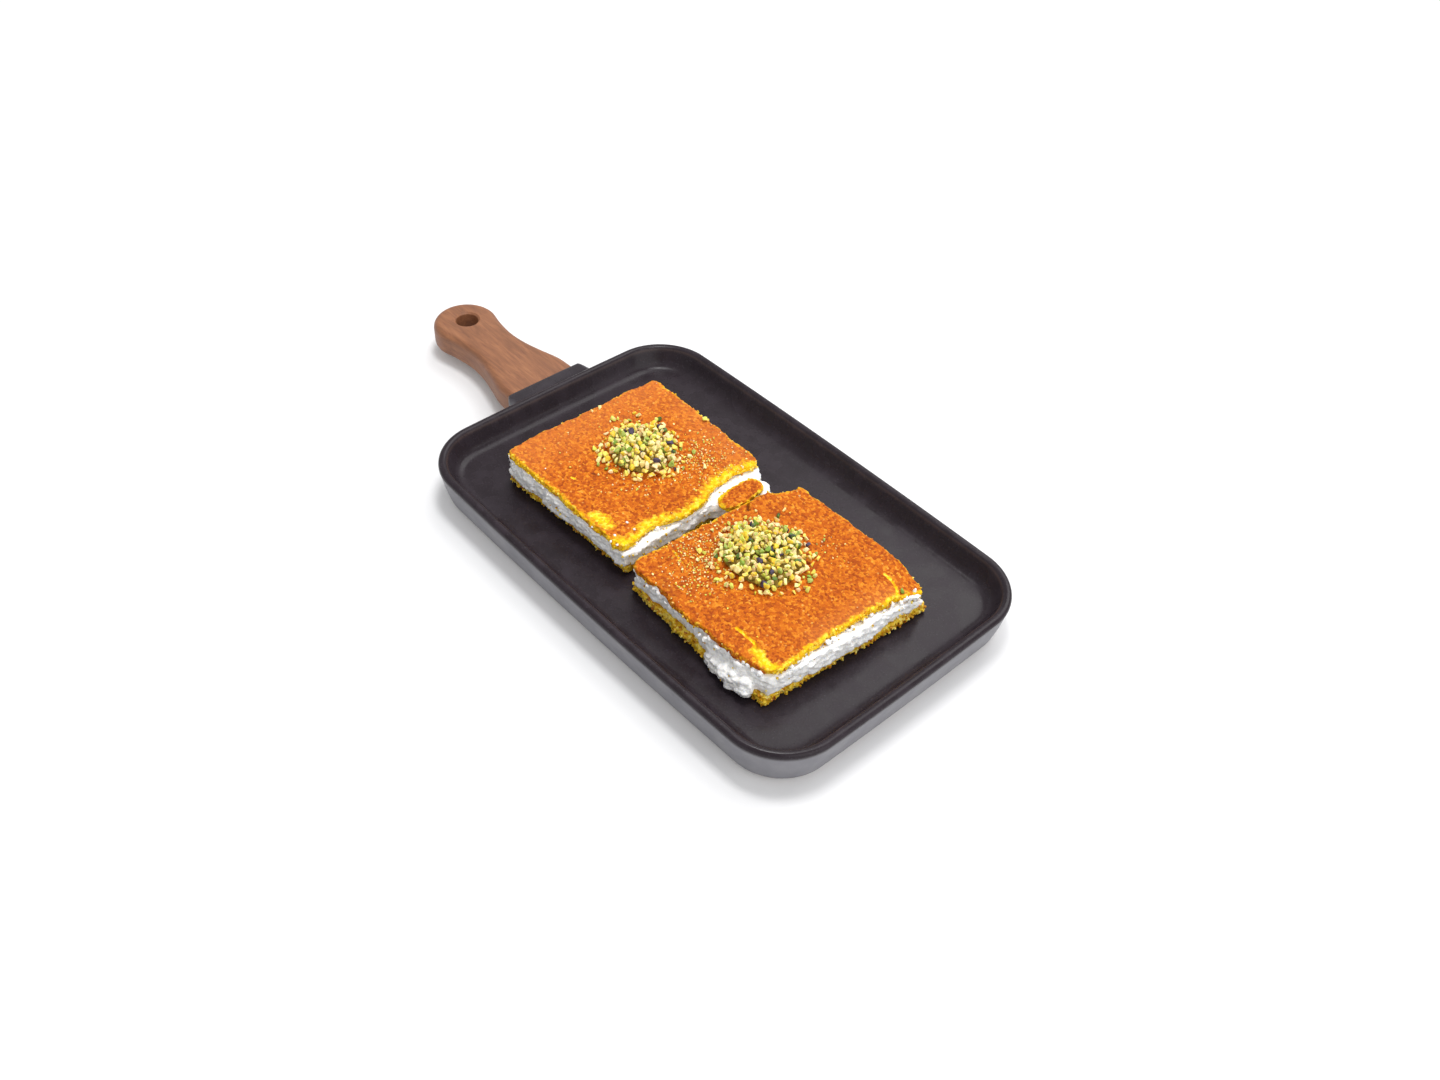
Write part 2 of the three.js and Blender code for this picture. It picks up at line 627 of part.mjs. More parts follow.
// The shard: a rough oval flake with a slightly crowned top, on the back square's cream.
function shardSolid(square) {
  const { x: cx, y: cy, length, width, thickness, drop } = SHARD;
  const { sides, depth, size, fullness, seed } = SHARD_EDGE;
  const turn = THREE.MathUtils.degToRad(SHARD.turn);
  const fuller = (t) => Math.sign(t) * Math.abs(t) ** fullness;
  const top = crustTop(square, cx, cy) - drop;
  const ringAt = ([share, below], level) =>
    Array.from({ length: sides }, (_, i) => {
      const angle = (2 * Math.PI * i) / sides;
      const [c, s] = [Math.cos(angle), Math.sin(angle)];
      const rough = share * (1 + depth * uneven(c, s, level, size, seed));
      const plan = new THREE.Vector2((length / 2) * fuller(c), (width / 2) * fuller(s));
      plan.multiplyScalar(rough).rotateAround(new THREE.Vector2(), turn);
      return new THREE.Vector3(cx + plan.x, cy + plan.y, top - below * thickness);
    });
  const flake = solidOf(loft(SHARD_SECTION.map(ringAt)));
  const rest = (x, y) => crustBottom(square)(x, y) + GAP;
  return withoutScraps(flake.subtract(bounded(square, rest, 0, COARSE_CELLS)));
}

const tray = new THREE.Group();
tray.position.x = TRAY_CENTRE_X;
tray.add(meshOf("dish", traySolid(), GLAZED_STONEWARE));
tray.add(meshOf("handle", handleSolid(), ACACIA));
for (const square of SQUARES) {
  const food = new THREE.Group();
  food.add(meshOf(square.name + "_base", baseSolid(square), SYRUPY_CRUMB));
  food.add(meshOf(square.name + "_cream", creamSolid(square), CLOTTED_CREAM));
  food.add(meshOf(square.name + "_crust", crustSolid(square), BROWNED_CRUMB));
  food.add(meshOf(square.name + "_nuts", heapSolid(square), PISTACHIO));
  tray.add(food);
}
tray.add(meshOf("crust_shard", shardSolid(SQUARES[0]), BROWNED_CRUMB));

const kunafa = new THREE.Group();
kunafa.add(tray);

export default kunafa;
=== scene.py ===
# %% [markdown]
# # Two squares of cream kunafa on a stoneware tray
# The real thing is a dark glazed tray with a wooden handle. On it lie two squares of kunafa: a
# yellow crumb base, a thick layer of clotted cream, a crust of fine crumb baked orange, and a heap
# of chopped pistachio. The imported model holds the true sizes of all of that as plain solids. This
# script dresses them. Everything is in metres, with the origin on the table, +X along the tray away
# from the handle and +Z up.

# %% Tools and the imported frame
import math

import bmesh
import bpy
import numpy as np
from mathutils import Matrix, Vector
from mathutils.bvhtree import BVHTree
from mathutils.kdtree import KDTree


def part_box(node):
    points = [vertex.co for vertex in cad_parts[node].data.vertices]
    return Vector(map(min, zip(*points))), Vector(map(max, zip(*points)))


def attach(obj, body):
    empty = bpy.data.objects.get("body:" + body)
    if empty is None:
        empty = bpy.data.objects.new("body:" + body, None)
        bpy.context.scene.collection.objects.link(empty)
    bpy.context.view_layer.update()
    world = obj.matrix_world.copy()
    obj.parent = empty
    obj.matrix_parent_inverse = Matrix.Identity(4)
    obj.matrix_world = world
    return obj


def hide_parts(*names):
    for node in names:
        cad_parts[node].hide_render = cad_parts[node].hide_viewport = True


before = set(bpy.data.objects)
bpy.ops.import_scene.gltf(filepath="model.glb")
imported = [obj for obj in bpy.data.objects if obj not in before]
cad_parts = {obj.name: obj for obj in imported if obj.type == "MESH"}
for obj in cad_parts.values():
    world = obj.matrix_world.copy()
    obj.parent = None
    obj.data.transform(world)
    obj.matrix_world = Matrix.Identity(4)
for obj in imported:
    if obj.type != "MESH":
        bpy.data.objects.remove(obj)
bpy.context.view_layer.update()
MM = 0.001
print("solids in the frame:", sorted(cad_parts))

# %% [markdown]
# The tray is the piece that everything else is placed from. Its end away from the handle is the
# model's far end, so the middle of the tray follows from the solid's box and the tray's length. The
# plan of the food is easiest to read from that middle, so a small helper turns such a place, in
# millimetres, into the frame.

# %% Places on the tray
TRAY_LENGTH = 244 * MM
TRAY_WIDTH = 153.4 * MM
LONG_BOW = 1.8 * MM
SHORT_BOW = 0.9 * MM
tray_low, tray_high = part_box("dish")
TRAY_X = tray_high.x - SHORT_BOW - TRAY_LENGTH / 2
RIM_Z = tray_high.z


def on_tray(x_mm, y_mm):
    """A place in the tray's own plan, in millimetres from its middle, as frame metres."""
    return np.array([TRAY_X + x_mm * MM, y_mm * MM])


print(f"tray centre at x = {TRAY_X:.4f} m, rim at z = {RIM_Z:.4f} m")

# %% [markdown]
# A material or a geometry tree is a set of nodes with links. One helper adds any node: it takes the
# node's kind, what goes into its sockets and its settings. An input that is another node's output
# becomes a link, anything else becomes the socket's own value. Colours are given as the sRGB hex
# numbers that a colour picker shows, and one function turns them into the linear light that Blender
# works in.

# %% Helpers for nodes and colours
MIX_FACTOR, MIX_A, MIX_B, MIX_COLOUR = 0, 6, 7, 2


def linear(hex_colour):
    """An sRGB hex colour as linear RGBA."""
    channels = [int(hex_colour[i : i + 2], 16) / 255 for i in (1, 3, 5)]
    return [c / 12.92 if c <= 0.04045 else ((c + 0.055) / 1.055) ** 2.4 for c in channels] + [1]


def add(tree, kind, inputs=None, stops=None, **settings):
    """A new node of that kind. Its inputs are values or other nodes' outputs, its stops a ramp."""
    node = tree.nodes.new(kind)
    for name, value in settings.items():
        setattr(node, name, value)
    for socket, value in (inputs or {}).items():
        if isinstance(value, bpy.types.NodeSocket):
            tree.links.new(value, node.inputs[socket])
        else:
            node.inputs[socket].default_value = value
    for place, colour in stops or ():
        ramp = node.color_ramp.elements
        stop = ramp[-1] if place >= 1 else ramp[0] if place <= 0 else ramp.new(place)
        stop.color = linear(colour)
    return node


def surface(name):
    """A new material with its node tree, its Principled shader and its Object coordinates."""
    finish = bpy.data.materials.new(name)
    finish.use_nodes = True
    tree = finish.node_tree
    shader = tree.nodes["Principled BSDF"]
    place = add(tree, "ShaderNodeTexCoord").outputs["Object"]
    return finish, tree, shader, place


# %% [markdown]
# ## The camera
# The photograph looks down on the tray at about 44 degrees, from beyond its free end and to one
# side. The place and the lens below come from fitting a perspective camera to the rim's outline,
# which is a rounded oblong of known proportions. The camera is rolled a little, as a hand-held one is.

# %% Camera
CAMERA_PLACE = Vector((369.0, -313.2, 439.2)) * MM
CAMERA_YAW = -0.7765
CAMERA_ELEVATION = 0.7633
CAMERA_ROLL = 0.0603
LENS_MM = 34.465

back = Vector((
    math.cos(CAMERA_YAW) * math.cos(CAMERA_ELEVATION),
    math.sin(CAMERA_YAW) * math.cos(CAMERA_ELEVATION),
    math.sin(CAMERA_ELEVATION),
))
level_right = (-back).cross(Vector((0, 0, 1))).normalized()
level_up = level_right.cross(-back)
right = level_right * math.cos(CAMERA_ROLL) + level_up * math.sin(CAMERA_ROLL)
up = level_up * math.cos(CAMERA_ROLL) - level_right * math.sin(CAMERA_ROLL)

camera = bpy.data.objects.new("camera", bpy.data.cameras.new("camera"))
camera.data.lens = LENS_MM
camera.data.sensor_width = 36
camera.data.clip_start = 0.01
camera.data.clip_end = 20
camera.matrix_world = Matrix((
    (right.x, up.x, back.x, CAMERA_PLACE.x),
    (right.y, up.y, back.y, CAMERA_PLACE.y),
    (right.z, up.z, back.z, CAMERA_PLACE.z),
    (0, 0, 0, 1),
))
bpy.context.scene.collection.objects.link(camera)
bpy.context.scene.camera = camera
print(f"camera {CAMERA_PLACE.length * 1000:.0f} mm from the origin, lens {LENS_MM} mm")

# %% [markdown]
# ## Light and floor
# The plate was photographed on white under large soft lights. Its shadow falls towards the viewer on
# both near sides and is only half dark, the sides that face away from the handle are the brighter
# ones, and the lip and the cove carry highlights that only a light overhead can give. So a sun with
# a wide disc comes from the far side, a weaker and much wider one fills from beyond the free end, an
# area lamp hangs overhead and a white sky lightens the shadows. The paper glows faintly, as a light
# table does. The view is set to Standard, so a colour in a material comes out as that colour.

# %% Light
SUNS = {  # strength, width of the disc in degrees, direction that it comes from
    "key": (1.3, 42, (-0.16, 0.76, 0.96)),
    "fill": (1.2, 60, (1.0, 0.0, 0.55)),
}
OVERHEAD_WATTS = 4.0
OVERHEAD_SIZE = (0.3, 0.18)
OVERHEAD_PLACE = (TRAY_X - 0.05, 0.06, 0.9)
SKY_STRENGTH = 0.6

scene = bpy.context.scene
scene.view_settings.view_transform = "Standard"

for name, (strength, width, came_from) in SUNS.items():
    sun = bpy.data.objects.new(name, bpy.data.lights.new(name, "SUN"))
    sun.data.energy = strength
    sun.data.angle = math.radians(width)
    sun.rotation_mode = "QUATERNION"
    sun.rotation_quaternion = Vector(came_from).to_track_quat("Z", "Y")
    scene.collection.objects.link(sun)

overhead = bpy.data.objects.new("overhead", bpy.data.lights.new("overhead", "AREA"))
overhead.data.energy = OVERHEAD_WATTS
overhead.data.shape = "RECTANGLE"
overhead.data.size, overhead.data.size_y = OVERHEAD_SIZE
overhead.location = OVERHEAD_PLACE
scene.collection.objects.link(overhead)

scene.world = bpy.data.worlds.new("white studio")
scene.world.use_nodes = True
sky = scene.world.node_tree.nodes["Background"]
sky.inputs["Color"].default_value = linear("#ffffff")
sky.inputs["Strength"].default_value = SKY_STRENGTH
print(f"{len(SUNS)} suns, a lamp of {OVERHEAD_WATTS} W overhead, sky {SKY_STRENGTH}")

# %% Floor
FLOOR_HALF = 4.0
PAPER_GLOW = 0.09
floor_mesh = bpy.data.meshes.new("floor")
corners = [(-1, -1), (1, -1), (1, 1), (-1, 1)]
floor_mesh.from_pydata([(x * FLOOR_HALF, y * FLOOR_HALF, 0) for x, y in corners], [], [(0, 1, 2, 3)])
floor = bpy.data.objects.new("floor", floor_mesh)
scene.collection.objects.link(floor)

paper, tree, shader, place = surface("matt white paper")
shader.inputs["Base Color"].default_value = linear("#e0e0e1")
shader.inputs["Roughness"].default_value = 0.9
shader.inputs["Specular IOR Level"].default_value = 0.1
shader.inputs["Emission Color"].default_value = linear("#ffffff")
shader.inputs["Emission Strength"].default_value = PAPER_GLOW
floor_mesh.materials.append(paper)

# %% [markdown]
# ## Making meshes
# A few helpers are used by every piece. One makes an object from points and faces. One turns an
# object with modifiers into a plain mesh, as a piece has to be before it is tied to the frame. One
# copies a solid of the frame with its loose triangles merged, so that modifiers see one closed skin.
# The last ties a finished piece to the frame and hides the solids that it stands for.

# %% Helpers for meshes
def linked(name, mesh):
    """A new object in the scene, at the origin."""
    piece = bpy.data.objects.new(name, mesh)
    scene.collection.objects.link(piece)
    return piece


def made(name, points, faces):
    """A smooth-shaded mesh object from an array of points and a list of faces."""
    mesh = bpy.data.meshes.new(name)
    mesh.from_pydata([tuple(p) for p in points], [], faces)
    mesh.polygons.foreach_set("use_smooth", [True] * len(mesh.polygons))
    return linked(name, mesh)


def plain(piece):
    """The piece with its modifiers applied and gone."""
    depsgraph = bpy.context.evaluated_depsgraph_get()
    mesh = bpy.data.meshes.new_from_object(
        piece.evaluated_get(depsgraph), preserve_all_data_layers=True, depsgraph=depsgraph
    )
    piece.modifiers.clear()
    old = piece.data
    piece.data = mesh
    mesh.name = piece.name
    bpy.data.meshes.remove(old)
    return piece


def solid_copy(node, name):
    """An editable copy of a solid of the frame, with its triangles merged to one skin."""
    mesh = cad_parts[node].data.copy()
    mesh.materials.clear()
    work = bmesh.new()
    work.from_mesh(mesh)
    bmesh.ops.remove_doubles(work, verts=work.verts, dist=0.005 * MM)
    work.to_mesh(mesh)
    work.free()
    return linked(name, mesh)


def even_skin(piece, voxel, smoothing=0):
    """The closed piece with a new skin of small even faces, softened a little."""
    skin = piece.modifiers.new("even skin", "REMESH")
    skin.mode = "VOXEL"
    skin.voxel_size = voxel
    skin.use_smooth_shade = True
    if smoothing:
        soften = piece.modifiers.new("soften", "SMOOTH")
        soften.iterations = smoothing
    return plain(piece)


def points_of(piece):
    """Every vertex of a piece, and its normal, as two arrays."""
    mesh = piece.data
    places = np.empty(len(mesh.vertices) * 3)
    normals = np.empty(len(mesh.vertices) * 3)
    mesh.vertices.foreach_get("co", places)
    mesh.vertex_normals.foreach_get("vector", normals)
    return places.reshape(-1, 3), normals.reshape(-1, 3)


def store(piece, name, values):
    """A number for each vertex, kept on the mesh under a name that materials can read."""
    layer = piece.data.attributes.get(name) or piece.data.attributes.new(name, "FLOAT", "POINT")
    layer.data.foreach_set("value", np.asarray(values, dtype=np.float32))


def keep(piece, slot, *nodes):
    """Ties a finished piece to the frame and hides the solids that it stands for."""
    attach(piece, "root")
    if nodes:
        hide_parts(*nodes)
    piece.data.calc_loop_triangles()
    print(f"{piece.name}: {len(piece.data.loop_triangles)} triangles")


def eased(x, low, high):
    """A smooth step from 0 at `low` to 1 at `high`."""
    t = np.clip((np.asarray(x, dtype=float) - low) / (high - low), 0, 1)
    return t * t * (3 - 2 * t)


def smooth_line(points, steps):
    """A curve through points of any dimension: a Catmull-Rom spline with `steps` parts a span."""
    p = np.asarray(points, dtype=float)
    p = np.vstack([2 * p[0] - p[1], p, 2 * p[-1] - p[-2]])
    line = []
    for i in range(1, len(p) - 2):
        for t in np.arange(steps) / steps:
            bend = 2 * p[i] + (p[i + 1] - p[i - 1]) * t
            bend += (2 * p[i - 1] - 5 * p[i] + 4 * p[i + 1] - p[i + 2]) * t**2
            bend += (3 * p[i] - p[i - 1] - 3 * p[i + 1] + p[i + 2]) * t**3
            line.append(bend / 2)
    line.append(p[-2])
    return np.array(line)


def tube_faces(rings, count):
    """Quads between rings of `count` points each, one after the other."""
    faces = []
    for ring in range(rings - 1):
        for i in range(count):
            a = ring * count + i
            b = ring * count + (i + 1) % count
            faces.append((a, b, b + count, a + count))
    return faces


# %% [markdown]
# ## The tray
# The tray is pressed stoneware: one outline, a rounded oblong whose sides bow out slightly, is
# repeated at every level of the wall. So it is a loft. A section gives how far in from the rim and
# how high each ring lies, from the middle of the underside, round the foot, the wall, the lip and
# the cove, to the middle of the floor. At the handle's end the wall grows a lug. It isn't a second
# body joined on: over the lug the rings follow a second section that goes out, up and back in, and
# the two sections are blended along the wall, which gives the soft flare that glazed clay has.

# %% Tray outline
CORNER_RADIUS = 27.4 * MM
CORNER_STEPS = 22
LONG_STEPS = 30
SHORT_STEPS = 18
LUG_Y = (-18.5 * MM, 27 * MM)
LUG_FLARE = 4.5 * MM
LUG_STEP = 0.9 * MM


def oblong():
    """The rim's outline as rays: straight parts and corner arcs, counter-clockwise from above."""
    half_length = TRAY_LENGTH / 2 - CORNER_RADIUS
    half_width = TRAY_WIDTH / 2 - CORNER_RADIUS
    anchors, rays = [], []
    for corner, (sx, sy) in enumerate([(1, 1), (-1, 1), (-1, -1), (1, -1)]):
        anchor = np.array([sx * half_length, sy * half_width])
        for i in range(CORNER_STEPS + 1):
            angle = math.pi / 2 * (corner + i / CORNER_STEPS)
            anchors.append(anchor)
            rays.append((math.cos(angle), math.sin(angle)))
        if corner == 1:
            fine = np.arange(LUG_Y[1] + 3 * LUG_FLARE, LUG_Y[0] - 3 * LUG_FLARE, -LUG_STEP)
            stops = [(-half_length, y) for y in fine]
        else:
            steps = SHORT_STEPS if corner == 3 else LONG_STEPS
            following = [(-1, 1), (-1, -1), (1, -1), (1, 1)][corner]
            end = np.array(following) * (half_length, half_width)
            stops = [anchor + (end - anchor) * i / steps for i in range(1, steps)]
        for stop in stops:
            anchors.append(np.array(stop))
            rays.append(rays[-1])
    return np.array(anchors), np.array(rays)


ANCHORS, RAYS = oblong()


def tray_ring(inset):
    """The outline moved inwards. `inset` is one number, or one for each point."""
    plan = ANCHORS + RAYS * (CORNER_RADIUS - np.reshape(inset, (-1, 1)))
    u = np.abs(plan[:, 0]) / (TRAY_LENGTH / 2)
    v = np.abs(plan[:, 1]) / (TRAY_WIDTH / 2)
    out_x = np.sign(plan[:, 0]) * SHORT_BOW * np.clip(1 - v * v, 0, 1) * np.clip(u, 0, 1)
    out_y = np.sign(plan[:, 1]) * LONG_BOW * np.clip(1 - u * u, 0, 1) * np.clip(v, 0, 1)
    return plan + np.stack([out_x, out_y], axis=1)


print("points in each ring of the tray:", len(ANCHORS))

# %% Tray section
FLOOR_Z = 12
LUG_REACH = 9.5
LUG_Z = (4.6, 19.6)
LUG_ROUND = 1.6
LIP_EDGE_INSET = 4.1
LIP_EDGE_WIDTH = 0.32
FOOT_EDGE_INSET = 9
FOOT_EDGE_Z = 1.6
FOOT_EDGE_WIDTH = 0.8
ROUND_STEPS = 4
SECTION_STEPS = 4

foot = [[22, 4], [21.2, 2.2], [20.4, 0.7], [19.4, 0], [14, 0], [9.6, 0], [7.4, 0.4], [5.6, 1.3],
        [4.2, 2.6], [3.5, 4.3]]
wall = [[3.5, 4.3], [2.8, 7], [1.9, 10.5], [1.2, 14], [0.7, 17], [0.15, 19.4]]
lip = [[0.15, 19.4], [0, 20.3], [0.35, 21.3], [1.2, 21.9], [2.2, 22], [3.2, 21.7], [4.0, 20.9], [4.7, 19.6]]
inside = [[4.7, 19.6], [6, 16.8], [7.2, 14.6], [8.6, 13.1], [10.4, 12.25], [12.6, FLOOR_Z], [16, FLOOR_Z]]


def arc(centre, start, turn):
    """A quarter round of the lug's edge, from `start` degrees through `turn` degrees."""
    angles = np.radians(start + turn * np.arange(ROUND_STEPS + 1) / ROUND_STEPS)
    return centre + LUG_ROUND * np.stack([np.cos(angles), np.sin(angles)], axis=1)


lug_path = np.vstack([
    [[wall[0][0], LUG_Z[0]]],
    arc(np.array([-LUG_REACH + LUG_ROUND, LUG_Z[0] + LUG_ROUND]), -90, -90),
    arc(np.array([-LUG_REACH + LUG_ROUND, LUG_Z[1] - LUG_ROUND]), 180, -90),
    [[wall[-1][0], LUG_Z[1]]],
])


def even_steps(path, count):
    """The path again, with `count` evenly spaced points."""
    length = np.concatenate([[0], np.cumsum(np.linalg.norm(np.diff(path, axis=0), axis=1))])
    at = np.linspace(0, length[-1], count)
    return np.stack([np.interp(at, length, path[:, k]) for k in range(2)], axis=1)


WALL_LEVELS = 34
plain_wall = even_steps(smooth_line(wall, 8), WALL_LEVELS)
lug_wall = even_steps(lug_path, WALL_LEVELS)
lower = smooth_line(foot, SECTION_STEPS)[:-1]
upper = np.vstack([smooth_line(lip, SECTION_STEPS)[1:], smooth_line(inside, SECTION_STEPS)[1:]])

# %% Tray mesh
y_of_ring = tray_ring(0)[:, 1]
at_handle = (tray_ring(0)[:, 0] < 0).astype(float)
grows = eased(y_of_ring, LUG_Y[0] - LUG_FLARE, LUG_Y[0] + 2 * MM)
fades = eased(y_of_ring, LUG_Y[1] - 2 * MM, LUG_Y[1] + LUG_FLARE)
lug_share = at_handle * grows * (1 - fades)

rings, pale, broken = [], [], []


def add_ring(plan, height, paleness, brownness):
    """One more level of the tray, with how pale it is painted (in large part a painted reflection of the
    white table) and how much brown shows.
    """
    count = len(ANCHORS)
    rings.append(np.column_stack([plan[:, 0] + TRAY_X, plan[:, 1], np.broadcast_to(height, count)]))
    pale.append(np.broadcast_to(paleness, count))
    broken.append(np.broadcast_to(brownness, count))


middle = np.zeros(2)
start_plan = tray_ring(lower[0][0] * MM)
for share in (0.04, 0.25, 0.5, 0.75, 0.93):
    add_ring(middle + (start_plan - middle) * share, lower[0][1] * MM, 0.3, 0)
# Round the foot: pale outside, with a thin brown line low down.
for inset, height in lower:
    off_edge = ((height - FOOT_EDGE_Z) / FOOT_EDGE_WIDTH) ** 2
    foot_line = math.exp(-off_edge) if inset < FOOT_EDGE_INSET else 0
    add_ring(tray_ring(inset * MM), height * MM, 0.9, foot_line)
# The wall is painted pale below the lip, in large part a painted reflection of the white table; over the
# lug it stays dark.
for (plain_in, plain_z), (lug_in, lug_z) in zip(plain_wall, lug_wall):
    inset = plain_in + (lug_in - plain_in) * lug_share
    height = plain_z + (lug_z - plain_z) * lug_share
    below_lip = 1 - eased(plain_z, 17.6, 20.0)
    add_ring(tray_ring(inset * MM), height * MM, below_lip * (1 - 0.93 * lug_share), 0)
# At the lip's inner edge a brown line, in part a painted highlight, strongest on the sides towards the free
# corner.
towards_free_corner = np.clip(RAYS @ (0.7, -0.7), 0, 1)
for inset, height in upper:
    edge = math.exp(-(((inset - LIP_EDGE_INSET) / LIP_EDGE_WIDTH) ** 2))
    add_ring(tray_ring(inset * MM), height * MM, 0, edge * (0.2 + 0.8 * towards_free_corner))
floor_plan = tray_ring(upper[-1][0] * MM)
for share in (0.93, 0.8, 0.62, 0.42, 0.22, 0.04):
    add_ring(middle + (floor_plan - middle) * share, FLOOR_Z * MM, 0, 0)

count = len(ANCHORS)
faces = tube_faces(len(rings), count)
faces.append(tuple(reversed(range(count))))
faces.append(tuple(range((len(rings) - 1) * count, len(rings) * count)))
tray = made("stoneware_tray", np.vstack(rings), faces)
store(tray, "pale", np.concatenate(pale))
store(tray, "broken", np.concatenate(broken))

# %% [markdown]
# The glaze is a charcoal stoneware glaze, dipped and fired: almost black inside with a breath of
# purple. The outer wall is painted a paler grey, in large part a painted reflection of the white
# table in the dark glaze. At the inner edge of the lip a brown line shows where the glaze breaks,
# in part a painted highlight, and a thin brown line runs low round the foot. The rings above
# already know where each of those is, so the colours follow the shape through two attributes. Iron specks
# of half a millimetre and a faint
# orange-peel bump keep it from looking like plastic. Inside it is smoother than outside.

# %% Glaze
def glazed_stoneware():
    """Charcoal glaze over stoneware clay: dark, slightly mottled, with a soft sheen."""
    finish, tree, shader, place = surface("charcoal glazed stoneware")
    mottle = add(tree, "ShaderNodeTexNoise", {"Vector": place, "Scale": 1 / (9 * MM), "Detail": 3.0})
    inside_tone = add(tree, "ShaderNodeValToRGB", {0: mottle.outputs["Fac"]},
                      stops=[(0, "#201a1d"), (0.5, "#282126"), (1, "#332b32")])
    # Paler grey for the outer wall, in large part a painted reflection of the white table.
    outside_tone = add(tree, "ShaderNodeValToRGB", {0: mottle.outputs["Fac"]},
                       stops=[(0, "#6c6b70"), (0.5, "#7b7a7f"), (1, "#888789")])
    pale = add(tree, "ShaderNodeAttribute", attribute_name="pale")
    tone = add(tree, "ShaderNodeMix",
               {MIX_FACTOR: pale.outputs["Fac"], MIX_A: inside_tone.outputs[0],
                MIX_B: outside_tone.outputs[0]},
               data_type="RGBA")
    # Brown lines, varied by the mottle: at the lip's inner edge in part a painted highlight, and low round
    # the foot.
    broken = add(tree, "ShaderNodeAttribute", attribute_name="broken")
    brown_line_share = add(tree, "ShaderNodeMapRange",
               {"Value": broken.outputs["Fac"], "To Min": 0.0, "To Max": mottle.outputs["Fac"]})
    tone = add(tree, "ShaderNodeMix",
               {MIX_FACTOR: brown_line_share.outputs[0], MIX_A: tone.outputs[MIX_COLOUR], MIX_B: linear("#846a5a")},
               data_type="RGBA")
    grit = add(tree, "ShaderNodeTexNoise", {"Vector": place, "Scale": 1 / (0.7 * MM), "Detail": 2.0})
    specks = add(tree, "ShaderNodeMapRange",
                 {"Value": grit.outputs["Fac"], "From Min": 0.6, "From Max": 0.74, "To Min": 0.0,
                  "To Max": 0.1})
    tone = add(tree, "ShaderNodeMix",
               {MIX_FACTOR: specks.outputs[0], MIX_A: tone.outputs[MIX_COLOUR], MIX_B: linear("#86808a")},
               data_type="RGBA")
    tree.links.new(tone.outputs[MIX_COLOUR], shader.inputs["Base Color"])
    sheen = add(tree, "ShaderNodeMapRange",
                {"Value": mottle.outputs["Fac"], "From Min": 0.35, "From Max": 0.65, "To Min": 0.2,
                 "To Max": 0.34})
    rough = add(tree, "ShaderNodeMapRange",
                {"Value": pale.outputs["Fac"], "To Min": sheen.outputs[0], "To Max": 0.5})
    tree.links.new(rough.outputs[0], shader.inputs["Roughness"])
    peel = add(tree, "ShaderNodeBump",
               {"Strength": 0.3, "Distance": 0.1 * MM, "Height": grit.outputs["Fac"]})
    tree.links.new(peel.outputs[0], shader.inputs["Normal"])
    shader.inputs["IOR"].default_value = 1.5
    shader.inputs["Specular IOR Level"].default_value = 0.17
    return finish


tray.data.materials.append(glazed_stoneware())
keep(tray, "glazed_stoneware", "dish")

# %% [markdown]
# ## The handle
# The handle is a paddle of acacia, sawn to an outline that narrows to a waist and ends in a round
# head, with its long edges rounded over by a router and a hole bored through the head. It is the
# same idea as the tray: the outline is repeated at several levels, moved inwards near the top and
# bottom by a quarter round. The hole is cut afterwards with a bevelled pin, which is exactly how a
# countersunk bore is made.

# %% Handle outline
HANDLE_EDGE = 3.6
HANDLE_STATION = 11
HANDLE_HALF_WIDTHS = [19.9, 19.3, 16.4, 13.9, 13.1, 14.4]
HANDLE_CENTRE_Y = 3.3
HEAD_RADIUS = 16.6
HEAD_ANGLE = 78
HOLE_RADIUS = 5.8
HOLE_Y = 4.2
handle_low, handle_high = (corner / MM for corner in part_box("handle"))
head_x = handle_low.x + HEAD_RADIUS

side = [(handle_high.x - i * HANDLE_STATION, half) for i, half in enumerate(HANDLE_HALF_WIDTHS)]
head_start = math.radians(HEAD_ANGLE)
side.append((head_x + HEAD_RADIUS * math.cos(head_start), HEAD_RADIUS * math.sin(head_start)))
side = smooth_line(side, 8)
head = [(head_x + HEAD_RADIUS * math.cos(a), HEAD_RADIUS * math.sin(a))
        for a in np.radians(np.linspace(HEAD_ANGLE, 360 - HEAD_ANGLE, 52))[1:-1]]
outline = np.vstack([side, head, side[::-1] * (1, -1)])


def moved_in(outline, by):
    """The outline with every point moved inwards along its own normal, but not at the joint."""
    before, after = np.roll(outline, 1, axis=0), np.roll(outline, -1, axis=0)
    way = after - before
    way /= np.linalg.norm(way, axis=1)[:, None]
    inward = np.column_stack([-way[:, 1], way[:, 0]])
    inward[[0, -1]] = [(0, -1), (0, 1)]
    return outline + inward * by


# %% Handle mesh
levels = []
for angle in np.radians(np.linspace(0, 90, 6)):
    levels.append((HANDLE_EDGE * (1 - math.cos(angle)), HANDLE_EDGE * (1 - math.sin(angle))))
thickness = handle_high.z - handle_low.z
stack = [(inset, handle_low.z + drop) for inset, drop in reversed(levels)]
stack += [(inset, handle_high.z - drop) for inset, drop in levels]
points = []
for inset, height in stack:
    plan = moved_in(outline, inset)
    points += [(x, HANDLE_CENTRE_Y + y, height) for x, y in plan]
count = len(outline)
faces = tube_faces(len(stack), count)
faces.append(tuple(reversed(range(count))))
faces.append(tuple(range((len(stack) - 1) * count, len(stack) * count)))
handle = made("wooden_handle", np.array(points) * MM, faces)

